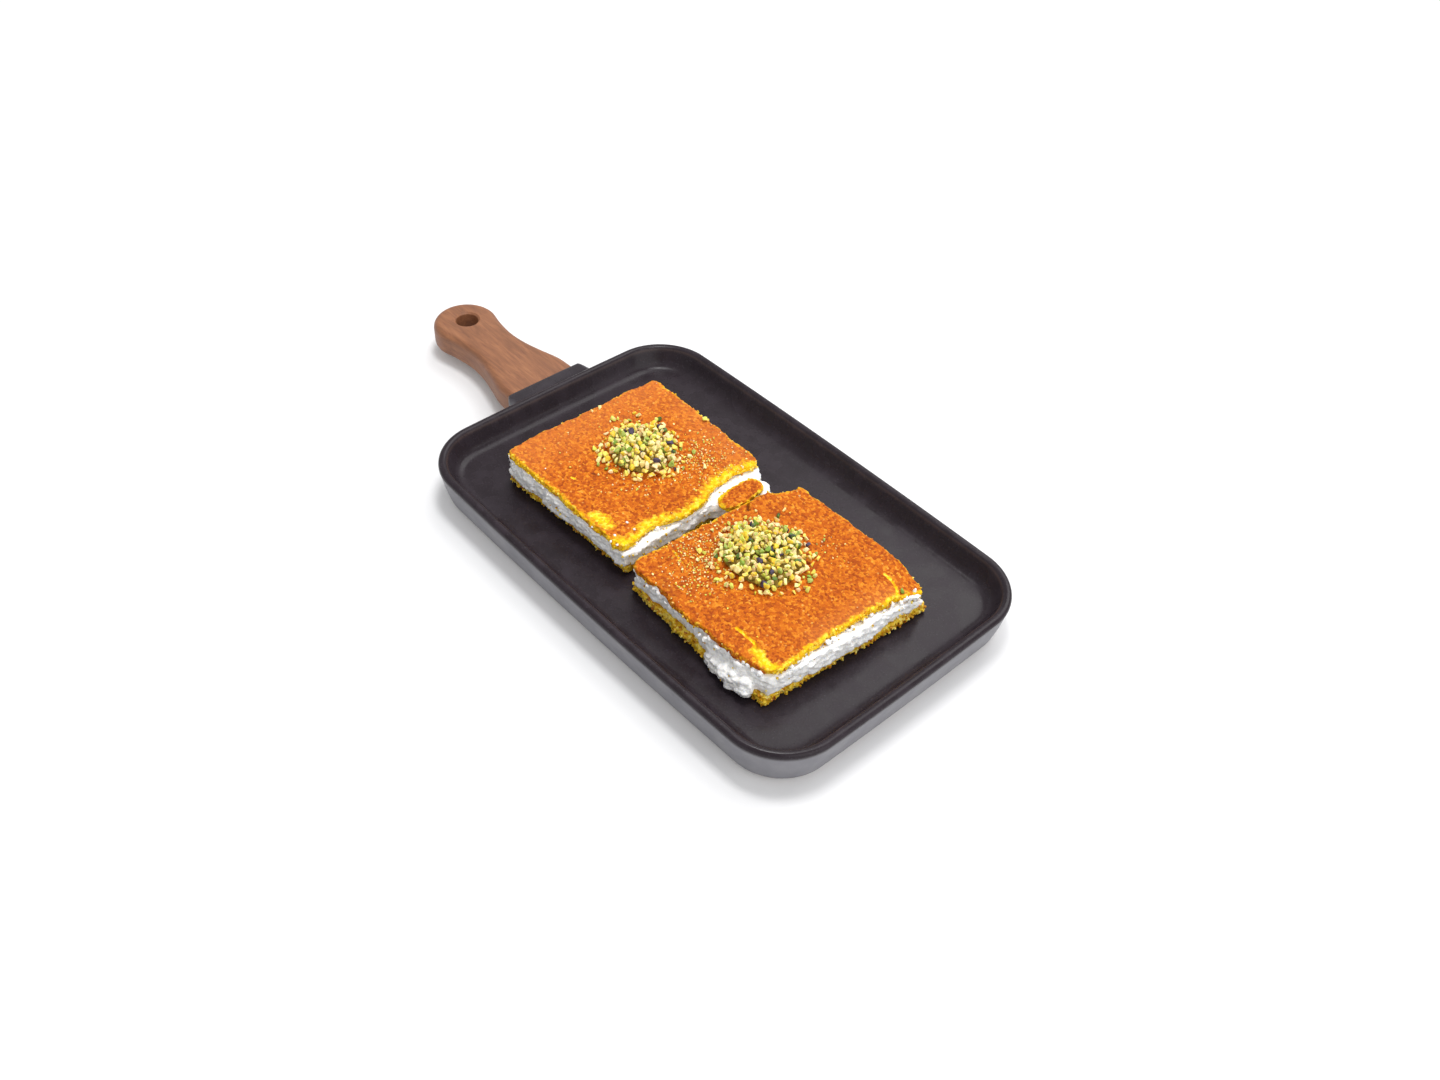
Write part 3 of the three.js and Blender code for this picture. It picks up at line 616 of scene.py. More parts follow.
BORE_STEPS = 40
EDGE_BREAK = 0.9
bore_section = [
    (HOLE_RADIUS + 2 * EDGE_BREAK, handle_low.z - EDGE_BREAK),
    (HOLE_RADIUS, handle_low.z + EDGE_BREAK),
    (HOLE_RADIUS, handle_high.z - EDGE_BREAK),
    (HOLE_RADIUS + 2 * EDGE_BREAK, handle_high.z + EDGE_BREAK),
]
bore_points = [(head_x + r * math.cos(a), HOLE_Y + r * math.sin(a), z)
               for r, z in bore_section
               for a in np.linspace(0, 2 * math.pi, BORE_STEPS, endpoint=False)]
faces = tube_faces(len(bore_section), BORE_STEPS)
faces.append(tuple(reversed(range(BORE_STEPS))))
faces.append(tuple(range(3 * BORE_STEPS, 4 * BORE_STEPS)))
bore = made("bore", np.array(bore_points) * MM, faces)

cut = handle.modifiers.new("bore", "BOOLEAN")
cut.operation = "DIFFERENCE"
cut.solver = "MANIFOLD"
cut.object = bore
plain(handle)
bpy.data.objects.remove(bore)
handle.data.set_sharp_from_angle(angle=math.radians(38))

# %% [markdown]
# Acacia, oiled: a warm reddish brown with darker, slightly wandering bands and fine open pores along
# the grain. The grain runs along the handle, so the noise is stretched thirty to one along X. The
# pores are about a fifth of a millimetre wide in real wood; they are drawn twice as wide so that
# they show at all.

# %% Wood
def oiled_acacia():
    """Open-pored hardwood with bands of darker heartwood, under a thin coat of oil."""
    finish, tree, shader, place = surface("oiled acacia")
    along = add(tree, "ShaderNodeMapping",
                {"Vector": place, "Rotation": (0, math.radians(2), math.radians(5)),
                 "Scale": (1 / 7, 1, 1)})
    bands = add(tree, "ShaderNodeTexNoise",
                {"Vector": along.outputs[0], "Scale": 1 / (2.6 * MM), "Detail": 4.0, "Roughness": 0.6,
                 "Distortion": 0.4})
    wood = add(tree, "ShaderNodeValToRGB", {0: bands.outputs["Fac"]},
               stops=[(0, "#613c24"), (0.38, "#7c5035"), (0.52, "#89593b"), (0.66, "#956342"),
                      (1, "#b0815a")])
    pore_place = add(tree, "ShaderNodeMapping",
                     {"Vector": place, "Rotation": (0, math.radians(2), math.radians(5)),
                      "Scale": (1 / 11, 1, 1)})
    pores = add(tree, "ShaderNodeTexNoise",
                {"Vector": pore_place.outputs[0], "Scale": 1 / (0.55 * MM), "Detail": 2.0})
    pore = add(tree, "ShaderNodeMapRange",
               {"Value": pores.outputs["Fac"], "From Min": 0.56, "From Max": 0.68, "To Min": 0.0,
                "To Max": 0.55})
    tone = add(tree, "ShaderNodeMix",
               {MIX_FACTOR: pore.outputs[0], MIX_A: wood.outputs[0], MIX_B: linear("#6d4031")},
               data_type="RGBA")
    tree.links.new(tone.outputs[MIX_COLOUR], shader.inputs["Base Color"])
    grain = add(tree, "ShaderNodeBump", {"Strength": 0.5, "Distance": 0.15 * MM,
                                         "Height": pores.outputs["Fac"]},
                invert=True)
    tree.links.new(grain.outputs[0], shader.inputs["Normal"])
    shader.inputs["Roughness"].default_value = 0.48
    shader.inputs["IOR"].default_value = 1.46
    return finish


handle.data.materials.clear()
handle.data.materials.append(oiled_acacia())
keep(handle, "oiled_acacia", "handle")

# %% [markdown]
# ## Crumb and cream
# The layers of the food are soft and crumbly, so a plain solid is right in size and wrong in skin.
# Each layer starts as a copy of its solid. A voxel remesh gives it an even skin of half-millimetre
# faces, and a geometry tree then pushes that skin in and out: broad lumps first, and grains on top
# of them. The same tree makes crumb and cream. Crumb has sharp grains and deep lumps at its sides;
# cream has lumps that are squashed flat, because a knife smeared them sideways.

# %% A tree that gives a skin its relief
def geometry_tree(name, inputs):
    """A new geometry tree with named inputs, and the sockets that they arrive at."""
    tree = bpy.data.node_groups.new(name, "GeometryNodeTree")
    tree.interface.new_socket("Geometry", in_out="INPUT", socket_type="NodeSocketGeometry")
    tree.interface.new_socket("Geometry", in_out="OUTPUT", socket_type="NodeSocketGeometry")
    for label, kind in inputs.items():
        tree.interface.new_socket(label, in_out="INPUT", socket_type="NodeSocket" + kind)
    return tree, add(tree, "NodeGroupInput").outputs


def run(tree, piece, values):
    """The piece after the geometry tree has run on it with these values, as a plain mesh."""
    modifier = piece.modifiers.new(tree.name, "NODES")
    modifier.node_group = tree
    for socket in tree.interface.items_tree:
        if socket.in_out == "INPUT" and socket.name in values:
            modifier[socket.identifier] = values[socket.name]
    return plain(piece)


def relief_tree():
    """Moves a skin along its normals by lumps and grains. Where `side` is 1 it also swells."""
    tree, given = geometry_tree("soft relief", {
        "Lump size": "Float", "Lump depth on top": "Float", "Lump depth at sides": "Float",
        "Grain size": "Float", "Grain depth": "Float", "Squash": "Float", "Swell": "Float",
        "Seed": "Float", "Material": "Material",
    })
    place = add(tree, "GeometryNodeInputPosition").outputs[0]
    squash = add(tree, "ShaderNodeCombineXYZ", {"X": 1.0, "Y": 1.0, "Z": given["Squash"]})
    squashed = add(tree, "ShaderNodeVectorMath", {0: place, 1: squash.outputs[0]},
                   operation="MULTIPLY").outputs[0]
    side = add(tree, "GeometryNodeInputNamedAttribute", {"Name": "side"}, data_type="FLOAT").outputs[0]
    lump_scale = add(tree, "ShaderNodeMath", {0: 1.0, 1: given["Lump size"]}, operation="DIVIDE").outputs[0]
    lumps = add(tree, "ShaderNodeTexNoise",
                {"Vector": squashed, "W": given["Seed"], "Scale": lump_scale, "Detail": 2.0},
                noise_dimensions="4D").outputs[0]
    lump = add(tree, "ShaderNodeMath", {0: lumps, 1: 0.5}, operation="SUBTRACT").outputs[0]
    depth = add(tree, "ShaderNodeMix",
                {0: side, 2: given["Lump depth on top"], 3: given["Lump depth at sides"]}).outputs[0]
    swell = add(tree, "ShaderNodeMath", {0: side, 1: given["Swell"]}, operation="MULTIPLY").outputs[0]
    push = add(tree, "ShaderNodeMath", {0: lump, 1: depth, 2: swell}, operation="MULTIPLY_ADD").outputs[0]
    grain_scale = add(tree, "ShaderNodeMath", {0: 1.0, 1: given["Grain size"]},
                      operation="DIVIDE").outputs[0]
    grains = add(tree, "ShaderNodeTexVoronoi",
                 {"Vector": squashed, "W": given["Seed"], "Scale": grain_scale},
                 voronoi_dimensions="4D").outputs["Distance"]
    grain = add(tree, "ShaderNodeMath", {0: 0.5, 1: grains}, operation="SUBTRACT").outputs[0]
    height = add(tree, "ShaderNodeMath", {0: grain, 1: given["Grain depth"], 2: push},
                 operation="MULTIPLY_ADD").outputs[0]
    normal = add(tree, "GeometryNodeInputNormal").outputs[0]
    offset = add(tree, "ShaderNodeVectorMath", {0: normal, "Scale": height}, operation="SCALE").outputs[0]
    moved = add(tree, "GeometryNodeSetPosition", {"Geometry": given["Geometry"], "Offset": offset})
    smooth = add(tree, "GeometryNodeSetShadeSmooth", {"Geometry": moved.outputs[0]})
    dressed = add(tree, "GeometryNodeSetMaterial",
                  {"Geometry": smooth.outputs[0], "Material": given["Material"]})
    add(tree, "NodeGroupOutput", {"Geometry": dressed.outputs[0]})
    return tree


RELIEF = relief_tree()


def mark_sides(piece):
    """Stores where a skin faces sideways. Gives each vertex's distance to there, and that normal."""
    places, normals = points_of(piece)
    side = 1 - eased(np.abs(normals[:, 2]), 0.35, 0.85)
    store(piece, "side", side)
    edge = np.flatnonzero(side > 0.8)
    tree = KDTree(len(edge))
    for i in edge:
        tree.insert(places[i], int(i))
    tree.balance()
    nearest = [tree.find(place)[1:] for place in places]
    return np.array([far for i, far in nearest]), normals[[i for i, far in nearest]]


def covering(piece):
    """The piece's faces as a tree that rays can be cast at."""
    mesh = piece.data
    return BVHTree.FromPolygons([v.co for v in mesh.vertices], [p.vertices for p in mesh.polygons])


# %% [markdown]
# ## The crust
# The crust is fine semolina crumb pressed flat, baked face down until it is orange, and turned over.
# Only its skin is orange. Where a knife cut it, where it tore and where the skin rubbed off, the
# yellow crumb inside shows. So each side of a crust has a fringe of its own width, and short lines
# across the plan paint a fold, a crack and a worn patch. A few lines are painted dark, and down the
# crack that dark is painted shade. The same line can be pressed in as a groove.
#
# The solid has a few stray nuts fused to it. They are ironed out here with a median filter on its
# height, and come back later as real bits of nut.

# %% Ironing the stray nuts out of a crust
CELL = 1.0 * MM
MEDIAN_HALF = 5


def ironed(piece):
    """The crust with every small bump on its upper face pressed down to the height around it."""
    places, normals = points_of(piece)
    low = places[:, :2].min(0) - CELL
    cells = np.floor((places[:, :2] - low) / CELL).astype(int)
    size = cells.max(0) + 2
    tops = np.full(size, np.nan)
    upward = normals[:, 2] > 0.3
    for (i, j), z in zip(cells[upward], places[upward, 2]):
        if not tops[i, j] >= z:
            tops[i, j] = z
    padded = np.pad(tops, MEDIAN_HALF, constant_values=np.nan)
    span = 2 * MEDIAN_HALF + 1
    windows = np.lib.stride_tricks.sliding_window_view(padded, (span, span))
    known = ~np.isnan(tops)
    level = np.full(size, np.nan)
    level[known] = np.nanmedian(windows[known].reshape(known.sum(), -1), axis=1)
    limit = level[cells[:, 0], cells[:, 1]] + 0.35 * MM
    high = places[:, 2] > limit
    places[high, 2] = limit[high] - 0.35 * MM
    piece.data.vertices.foreach_set("co", places.ravel())
    piece.data.update()
    print(f"{piece.name}: {high.sum()} points of stray nuts pressed down")
    return piece


# %% Lines and fringes on a crust
def line_share(places, points, half_width):
    """1 on a line through `points` (mm in the tray's plan), falling to 0 at `half_width` mm."""
    line = smooth_line(np.array([on_tray(x, y) for x, y in points]), 6)
    best = np.full(len(places), np.inf)
    for a, b in zip(line[:-1], line[1:]):
        way = b - a
        along = np.clip(((places[:, :2] - a) @ way) / (way @ way), 0, 1)
        best = np.minimum(best, np.linalg.norm(places[:, :2] - a - along[:, None] * way, axis=1))
    return 1 - eased(best, 0, half_width * MM)


WAYS = {"+x": (1, 0), "-x": (-1, 0), "+y": (0, 1), "-y": (0, -1)}


def fringe(from_edge, facing, widths):
    """Yellow along a crust's edges. Each side has a width in mm and a strength."""
    yellow = np.zeros(len(from_edge))
    for side, (width, strength) in widths.items():
        share = np.clip(facing[:, :2] @ WAYS[side], 0, 1) ** 2
        yellow += share * strength * (1 - eased(from_edge, 0.1 * MM, width * MM))
    return yellow


FOLD = [(77.2, 27.1), (81.7, 27.6), (86.1, 25.2), (89.2, 21.2), (89.2, 13.7)]
CREASE = [(60.7, -42.9), (67.1, -42.8), (71, -43.1), (75.2, -45.4)]
CRACK = [(5, 15.6), (8.1, 12.1), (11.9, 8.7)]
NICK = [(9.4, -32.7), (19.2, -35)]
CRUSTS = {
    "back": {
        "seed": 1.0,
        "fringe": {"+x": (8.0, 1.1), "-x": (1.8, 0.5), "+y": (2.6, 0.6), "-y": (3.0, 0.75)},
        "yellow": [
            ([(-28.2, -45), (-25, -44.2), (-21.6, -44)], 7.0, 0.95),
            ([(-11.5, -47), (-8, -43.5)], 6, 0.9),
            ([(-7.4, -36), (-8, -28), (-7.6, -17)], 3.4, 0.8),
            ([(-54, -37.9), (-52.6, -37.5)], 1.2, 0.9),
        ],
        "grooves": [],
        "dark": [([(-50.2, -28.9), (-49, -28.5)], 1.0, 0.8)],
        "light": [([(-86, -50), (-86, -6), (-86, 38)], 34, 0.35), ([(-60, 36), (-20, 34)], 22, 0.3)],
    },
    "front": {
        "seed": 2.0,
        "fringe": {"+x": (3.8, 0.9), "-x": (2.8, 0.6), "+y": (1.8, 0.5), "-y": (1.2, 0.3)},
        "yellow": [
            (FOLD, 1.5, 1.0),
            (CREASE, 1.5, 0.95),
            ([(74.5, -44.9), (79, -47), (83, -46.6), (86.4, -46.2)], 5.0, 1.0),
            (NICK, 1.2, 0.55),
        ],
        "grooves": [(FOLD, 1.1, 0.5), (CREASE, 1.1, 0.8), (NICK, 0.9, 0.4), (CRACK, 1.0, 1.6)],
        # The dark along the crack is painted shade down in it.
        "dark": [(CRACK, 0.9, 1.0), ([(22, -48), (30, -50)], 4, 0.25)],
        "light": [([(86, -20), (88, 20)], 12, 0.3)],
    },
}

# %% [markdown]
# The crumb material starts from the yellow of semolina soaked with syrup and butter. On the upper
# face the baked skin lies over it: orange, with darker red-brown grains where a crumb stood proud
# and caught more heat, and a pale one here and there. Grains are about a millimetre and a half
# across. The skin fades out along the edges, through the attribute that the fringes and lines have
# painted, and noise of a few millimetres makes that border ragged.

# %% Crumb material
def browned_crumb():
    """Fine semolina crumb with a baked orange skin that gives way to yellow at its edges."""
    finish, tree, shader, place = surface("browned semolina crumb")
    grains = add(tree, "ShaderNodeTexVoronoi", {"Vector": place, "Scale": 1 / (1.15 * MM)})
    shade = add(tree, "ShaderNodeSeparateColor", {"Color": grains.outputs["Color"]})
    fine = add(tree, "ShaderNodeTexNoise", {"Vector": place, "Scale": 1 / (0.8 * MM), "Detail": 2.0})
    patches = add(tree, "ShaderNodeTexNoise", {"Vector": place, "Scale": 1 / (12 * MM), "Detail": 1.0})
    uneven = add(tree, "ShaderNodeMix", {0: 0.35, 2: fine.outputs["Fac"], 3: patches.outputs["Fac"]})
    tones = add(tree, "ShaderNodeMix", {0: 0.5, 2: shade.outputs["Red"], 3: uneven.outputs[0]})
    skin = add(tree, "ShaderNodeValToRGB", {0: tones.outputs[0]},
               stops=[(0, "#782e06"), (0.3, "#9f4608"), (0.45, "#b7590b"), (0.6, "#c5670e"),
                      (0.75, "#d88520"),
                      (1, "#f2b650")])
    light = add(tree, "ShaderNodeAttribute", attribute_name="light")
    skin = add(tree, "ShaderNodeMix",
               {MIX_FACTOR: light.outputs["Fac"], MIX_A: skin.outputs[0], MIX_B: linear("#d27e3e")},
               data_type="RGBA")

    spots = add(tree, "ShaderNodeTexVoronoi", {"Vector": place, "Scale": 1 / (1.9 * MM)})
    which = add(tree, "ShaderNodeSeparateColor", {"Color": spots.outputs["Color"]})
    inside = add(tree, "ShaderNodeMapRange",
                 {"Value": spots.outputs["Distance"], "From Min": 0.14, "From Max": 0.34, "To Min": 1.0,
                  "To Max": 0.0})
    burnt = add(tree, "ShaderNodeMapRange",
                {"Value": which.outputs["Red"], "From Min": 0.55, "From Max": 0.8, "To Min": 0.0,
                 "To Max": 0.5})
    burnt = add(tree, "ShaderNodeMath", {0: burnt.outputs[0], 1: inside.outputs[0]}, operation="MULTIPLY")
    skin = add(tree, "ShaderNodeMix",
               {MIX_FACTOR: burnt.outputs[0], MIX_A: skin.outputs[MIX_COLOUR], MIX_B: linear("#8c3a12")},
               data_type="RGBA")
    missed = add(tree, "ShaderNodeMapRange",
                 {"Value": which.outputs["Green"], "From Min": 0.86, "From Max": 0.94, "To Min": 0.0,
                  "To Max": 0.6})
    missed = add(tree, "ShaderNodeMath", {0: missed.outputs[0], 1: inside.outputs[0]}, operation="MULTIPLY")
    skin = add(tree, "ShaderNodeMix",
               {MIX_FACTOR: missed.outputs[0], MIX_A: skin.outputs[MIX_COLOUR], MIX_B: linear("#f0b75a")},
               data_type="RGBA")

    crumb = add(tree, "ShaderNodeValToRGB", {0: shade.outputs["Green"]},
                stops=[(0, "#e2a010"), (0.25, "#eeb808"), (0.6, "#f5ca10"), (1, "#fde250")])
    yellow = add(tree, "ShaderNodeAttribute", attribute_name="yellow")
    ragged = add(tree, "ShaderNodeTexNoise", {"Vector": place, "Scale": 1 / (2.6 * MM), "Detail": 3.0})
    loose = add(tree, "ShaderNodeMix", {0: 0.3, 2: ragged.outputs["Fac"], 3: shade.outputs["Blue"]})
    torn = add(tree, "ShaderNodeMath", {0: loose.outputs[0], 1: 1.3, 2: yellow.outputs["Fac"]},
               operation="MULTIPLY_ADD")
    share = add(tree, "ShaderNodeMapRange", {"Value": torn.outputs[0], "From Min": 0.95, "From Max": 1.5})
    tone = add(tree, "ShaderNodeMix",
               {MIX_FACTOR: share.outputs[0], MIX_A: skin.outputs[MIX_COLOUR], MIX_B: crumb.outputs[0]},
               data_type="RGBA")
    # Darker where the attribute `dark` says: down the crack this is painted shade.
    dark = add(tree, "ShaderNodeAttribute", attribute_name="dark")
    tone = add(tree, "ShaderNodeMix",
               {MIX_FACTOR: dark.outputs["Fac"], MIX_A: tone.outputs[MIX_COLOUR], MIX_B: linear("#5e2408")},
               data_type="RGBA")
    tree.links.new(tone.outputs[MIX_COLOUR], shader.inputs["Base Color"])
    height = add(tree, "ShaderNodeMath", {0: fine.outputs["Fac"], 1: grains.outputs["Distance"]},
                 operation="SUBTRACT")
    bump = add(tree, "ShaderNodeBump", {"Strength": 0.8, "Distance": 0.35 * MM,
                                        "Height": height.outputs[0]})
    tree.links.new(bump.outputs[0], shader.inputs["Normal"])
    shader.inputs["Roughness"].default_value = 0.6
    shader.inputs["Specular IOR Level"].default_value = 0.12
    shader.inputs["Subsurface Weight"].default_value = 0.15
    shader.inputs["Subsurface Scale"].default_value = 1.2 * MM
    shader.inputs["Subsurface Radius"].default_value = (1.0, 0.5, 0.15)
    return finish


BROWNED_CRUMB = browned_crumb()

# %% Crusts
CRUST_VOXEL = 0.45 * MM
crusts = {}
for name, crust in CRUSTS.items():
    piece = solid_copy(f"{name}_crust", f"{name}_browned_crust")
    ironed(even_skin(piece, 0.8 * MM))
    even_skin(piece, CRUST_VOXEL, smoothing=4)
    places, normals = points_of(piece)
    upward = eased(normals[:, 2], 0.5, 0.9)
    depth = np.zeros(len(places))
    for points, half_width, groove in crust["grooves"]:
        depth = np.maximum(depth, groove * line_share(places, points, half_width))
    places[:, 2] -= depth * upward * MM
    piece.data.vertices.foreach_set("co", places.ravel())
    piece.data.update()
    yellow = fringe(*mark_sides(piece), crust["fringe"])
    for points, half_width, strength in crust["yellow"]:
        yellow = np.maximum(yellow, strength * line_share(places, points, half_width))
    store(piece, "yellow", yellow)
    for tone in ("dark", "light"):
        share = np.zeros(len(places))
        for points, half_width, strength in crust[tone]:
            share = np.maximum(share, strength * line_share(places, points, half_width))
        store(piece, tone, share * upward)
    run(RELIEF, piece, {
        "Lump size": 3.2 * MM, "Lump depth on top": 0.3 * MM, "Lump depth at sides": 2.8 * MM,
        "Grain size": 1.3 * MM, "Grain depth": 0.45 * MM, "Squash": 1.0, "Swell": 0.15 * MM,
        "Seed": crust["seed"], "Material": BROWNED_CRUMB,
    })
    crusts[name] = piece
    keep(piece, "browned_crumb", f"{name}_crust")

# %% [markdown]
# A shard of crust broke off the back square at its torn edge and lies on the cream between the two.
# It is the same crumb, so it is made the same way, with more yellow round its rim.

# %% Shard
shard = solid_copy("crust_shard", "broken_crust_shard")
even_skin(shard, 0.35 * MM, smoothing=3)
shard_fringe = {"+x": (1.4, 0.8), "-x": (3.4, 1.0), "+y": (3.0, 1.0), "-y": (3.8, 1.0)}
store(shard, "yellow", fringe(*mark_sides(shard), shard_fringe))
run(RELIEF, shard, {
    "Lump size": 2.6 * MM, "Lump depth on top": 1.0 * MM, "Lump depth at sides": 4.2 * MM,
    "Grain size": 1.4 * MM, "Grain depth": 0.5 * MM, "Squash": 1.0, "Swell": 0.0,
    "Seed": 3.0, "Material": BROWNED_CRUMB,
})
keep(shard, "browned_crumb", "crust_shard")

# %% [markdown]
# ## The base
# The base is the same crumb, but it lay on the pan and under the cream, so it is soft, soaked with
# syrup and bright yellow, with a few orange grains. Its cut side crumbles more than the crust's.

# %% Base material
def syrupy_crumb():
    """Soft yellow crumb, moist with syrup, with scattered orange grains."""
    finish, tree, shader, place = surface("syrup-soaked crumb")
    grains = add(tree, "ShaderNodeTexVoronoi", {"Vector": place, "Scale": 1 / (1.3 * MM)})
    shade = add(tree, "ShaderNodeSeparateColor", {"Color": grains.outputs["Color"]})
    tone = add(tree, "ShaderNodeValToRGB", {0: shade.outputs["Red"]},
               stops=[(0, "#a8540c"), (0.16, "#cc8e10"), (0.36, "#e0b018"), (0.72, "#f0cc30"),
                      (1, "#f9e684")])
    tree.links.new(tone.outputs[0], shader.inputs["Base Color"])
    height = add(tree, "ShaderNodeMath", {0: 1.0, 1: grains.outputs["Distance"]}, operation="SUBTRACT")
    bump = add(tree, "ShaderNodeBump", {"Strength": 0.8, "Distance": 0.4 * MM, "Height": height.outputs[0]})
    tree.links.new(bump.outputs[0], shader.inputs["Normal"])
    shader.inputs["Roughness"].default_value = 0.45
    shader.inputs["Subsurface Weight"].default_value = 0.15
    shader.inputs["Subsurface Scale"].default_value = 1.5 * MM
    shader.inputs["Subsurface Radius"].default_value = (1.0, 0.7, 0.15)
    return finish


SYRUPY_CRUMB = syrupy_crumb()

# %% Bases
bases = {}
for seed, name in enumerate(CRUSTS):
    piece = solid_copy(f"{name}_base", f"{name}_crumb_base")
    even_skin(piece, 0.55 * MM, smoothing=3)
    mark_sides(piece)
    run(RELIEF, piece, {
        "Lump size": 2.8 * MM, "Lump depth on top": 0.1 * MM, "Lump depth at sides": 4.2 * MM,
        "Grain size": 1.5 * MM, "Grain depth": 0.8 * MM, "Squash": 1.0, "Swell": 0.2 * MM,
        "Seed": 5.0 + seed, "Material": SYRUPY_CRUMB,
    })
    bases[name] = piece
    keep(piece, "syrup_soaked_crumb", f"{name}_base")

# %% [markdown]
# ## The cream
# Clotted cream is thick enough to stand when it is cut, and it tears in soft ledges. Light goes a
# few millimetres into it, which is what makes it look like cream and not like plaster, so the
# material scatters light under its skin. Cream that has no crust above it is as torn and lumpy as
# the cut sides are. A ray cast straight up from each place finds out which cream that is.

# %% Cream material
def clotted_cream():
    """Thick cream: white with a little yellow, softly shining, with light scattered inside."""
    finish, tree, shader, place = surface("clotted cream")
    clouds = add(tree, "ShaderNodeTexNoise", {"Vector": place, "Scale": 1 / (5 * MM), "Detail": 3.0})
    tone = add(tree, "ShaderNodeValToRGB", {0: clouds.outputs["Fac"]},
               stops=[(0, "#f3f0ea"), (0.5, "#fbfaf8"), (1, "#ffffff")])
    tree.links.new(tone.outputs[0], shader.inputs["Base Color"])
    curds = add(tree, "ShaderNodeTexNoise", {"Vector": place, "Scale": 1 / (1.0 * MM), "Detail": 3.0})
    bump = add(tree, "ShaderNodeBump", {"Strength": 0.6, "Distance": 0.4 * MM,
                                        "Height": curds.outputs["Fac"]})
    tree.links.new(bump.outputs[0], shader.inputs["Normal"])
    shader.inputs["Roughness"].default_value = 0.4
    shader.inputs["Subsurface Weight"].default_value = 0.3
    shader.inputs["Subsurface Scale"].default_value = 1.8 * MM
    shader.inputs["Subsurface Radius"].default_value = (1.0, 0.9, 0.75)
    return finish


CLOTTED_CREAM = clotted_cream()

# %% Cream layers
creams = {}
for seed, name in enumerate(CRUSTS):
    piece = solid_copy(f"{name}_cream", f"{name}_cream_layer")
    even_skin(piece, 0.5 * MM, smoothing=5)
    mark_sides(piece)
    places, normals = points_of(piece)
    above = covering(crusts[name])
    open_sky = np.array([above.ray_cast(Vector(place), Vector((0, 0, 1)))[0] is None for place in places])
    torn = np.maximum(1 - eased(np.abs(normals[:, 2]), 0.35, 0.85),
                      open_sky * eased(normals[:, 2], 0.1, 0.5))
    store(piece, "side", torn)
    run(RELIEF, piece, {
        "Lump size": 4.2 * MM, "Lump depth on top": 0.1 * MM, "Lump depth at sides": 4.6 * MM,
        "Grain size": 2.4 * MM, "Grain depth": 0.25 * MM, "Squash": 1.8, "Swell": 0.3 * MM,
        "Seed": 8.0 + seed, "Material": CLOTTED_CREAM,
    })
    run(RELIEF, piece, {
        "Lump size": 1.6 * MM, "Lump depth on top": 0.0, "Lump depth at sides": 1.5 * MM,
        "Grain size": 1.1 * MM, "Grain depth": 0.2 * MM, "Squash": 1.8, "Swell": 0.0,
        "Seed": 10.0 + seed, "Material": CLOTTED_CREAM,
    })
    creams[name] = piece
    keep(piece, "clotted_cream", f"{name}_cream")

# %% [markdown]
# When the squares were cut and lifted, the knife dragged some cream up over the edge of the crust.
# Each such smear is a few flattened balls that a voxel remesh fuses into one soft lump. Some lie at
# places of their own. The others follow the torn edges: balls of random size, at random heights,
# along a line across the plan, with a share of them left out.

# %% Smears of cream
SMEAR_VOXEL = 0.3 * MM
SMEARS = {  # the middle's x, y, z and the three half-sizes, in mm in the tray's plan
    "back": [
        (-72.9, -45.2, 30.4, 1.8, 0.8, 0.5), (-67.6, -45.4, 30.2, 2.6, 0.6, 0.5),
        (-65.6, -43.6, 30.5, 0.8, 0.8, 0.4),
        (-16.5, -36.7, 29.0, 0.7, 0.5, 0.4), (-14.4, -45.1, 28.2, 0.8, 0.6, 0.5),
        (-11.5, -36.9, 28.8, 0.6, 0.5, 0.4),
    ],
    "front": [
        (20.6, -50.9, 26.4, 1.9, 0.9, 2.0), (23.3, -51.4, 25.2, 1.4, 0.9, 2.2),
        (77.1, -49.9, 27.6, 1.8, 1.2, 1.3), (81.9, -50.1, 27.0, 2.0, 1.1, 1.6),
        (67.9, -45.2, 29.0, 2.2, 0.5, 0.4),
        (91.6, 31.9, 23.0, 0.9, 1.5, 1.8), (91.2, 28.2, 23.4, 0.8, 1.0, 1.8),
    ],
}
TORN_EDGES = {  # the line, its lowest and highest z, the balls' least and greatest radius, share kept
    "back": [
        ([(-6.6, -46), (-7.6, -34), (-7.4, -22), (-6.2, -10), (-5.2, 2)], (23, 25.8), (0.7, 1.6), 0.55),
        ([(-5.4, 4), (-11, 10), (-14, 20), (-13.4, 34)], (23.5, 26), (0.6, 1.5), 0.6),
        ([(-84, -49.6), (-60, -49.4), (-30, -48.8), (-8, -48)], (24, 28), (0.4, 1.0), 0.4),
    ],
    "front": [
        ([(86.6, -46), (88, -20), (89.6, 10), (92, 34)], (24, 28), (0.6, 1.5), 0.75),
        ([(30, -52.6), (50, -52.8), (70, -51.6), (84, -50.4)], (24.5, 28), (0.6, 1.5), 0.7),
        ([(10, -50.8), (18, -51.4), (28, -52)], (24, 27), (0.5, 1.2), 0.5),
    ],
}
BALL_EVERY = 1.5 * MM
SIDEWAYS = 0.6 * MM


def torn_edge(points, heights, radii, share, draw):
    """Balls along a line: the middle's x, y, z and the three half-sizes of each, in metres."""
    line = smooth_line(np.array([on_tray(x, y) for x, y in points]), 12)
    run_length = np.concatenate([[0], np.cumsum(np.linalg.norm(np.diff(line, axis=0), axis=1))])
    balls = []
    for at in np.arange(0, run_length[-1], BALL_EVERY):
        middle = [np.interp(at, run_length, line[:, k]) + draw.normal(0, SIDEWAYS) for k in range(2)]
        height = draw.uniform(*heights) * MM
        sizes = draw.uniform(radii[0], radii[1], size=3) * MM
        if draw.random() < share:
            balls.append((*middle, height, *sizes))
    return balls


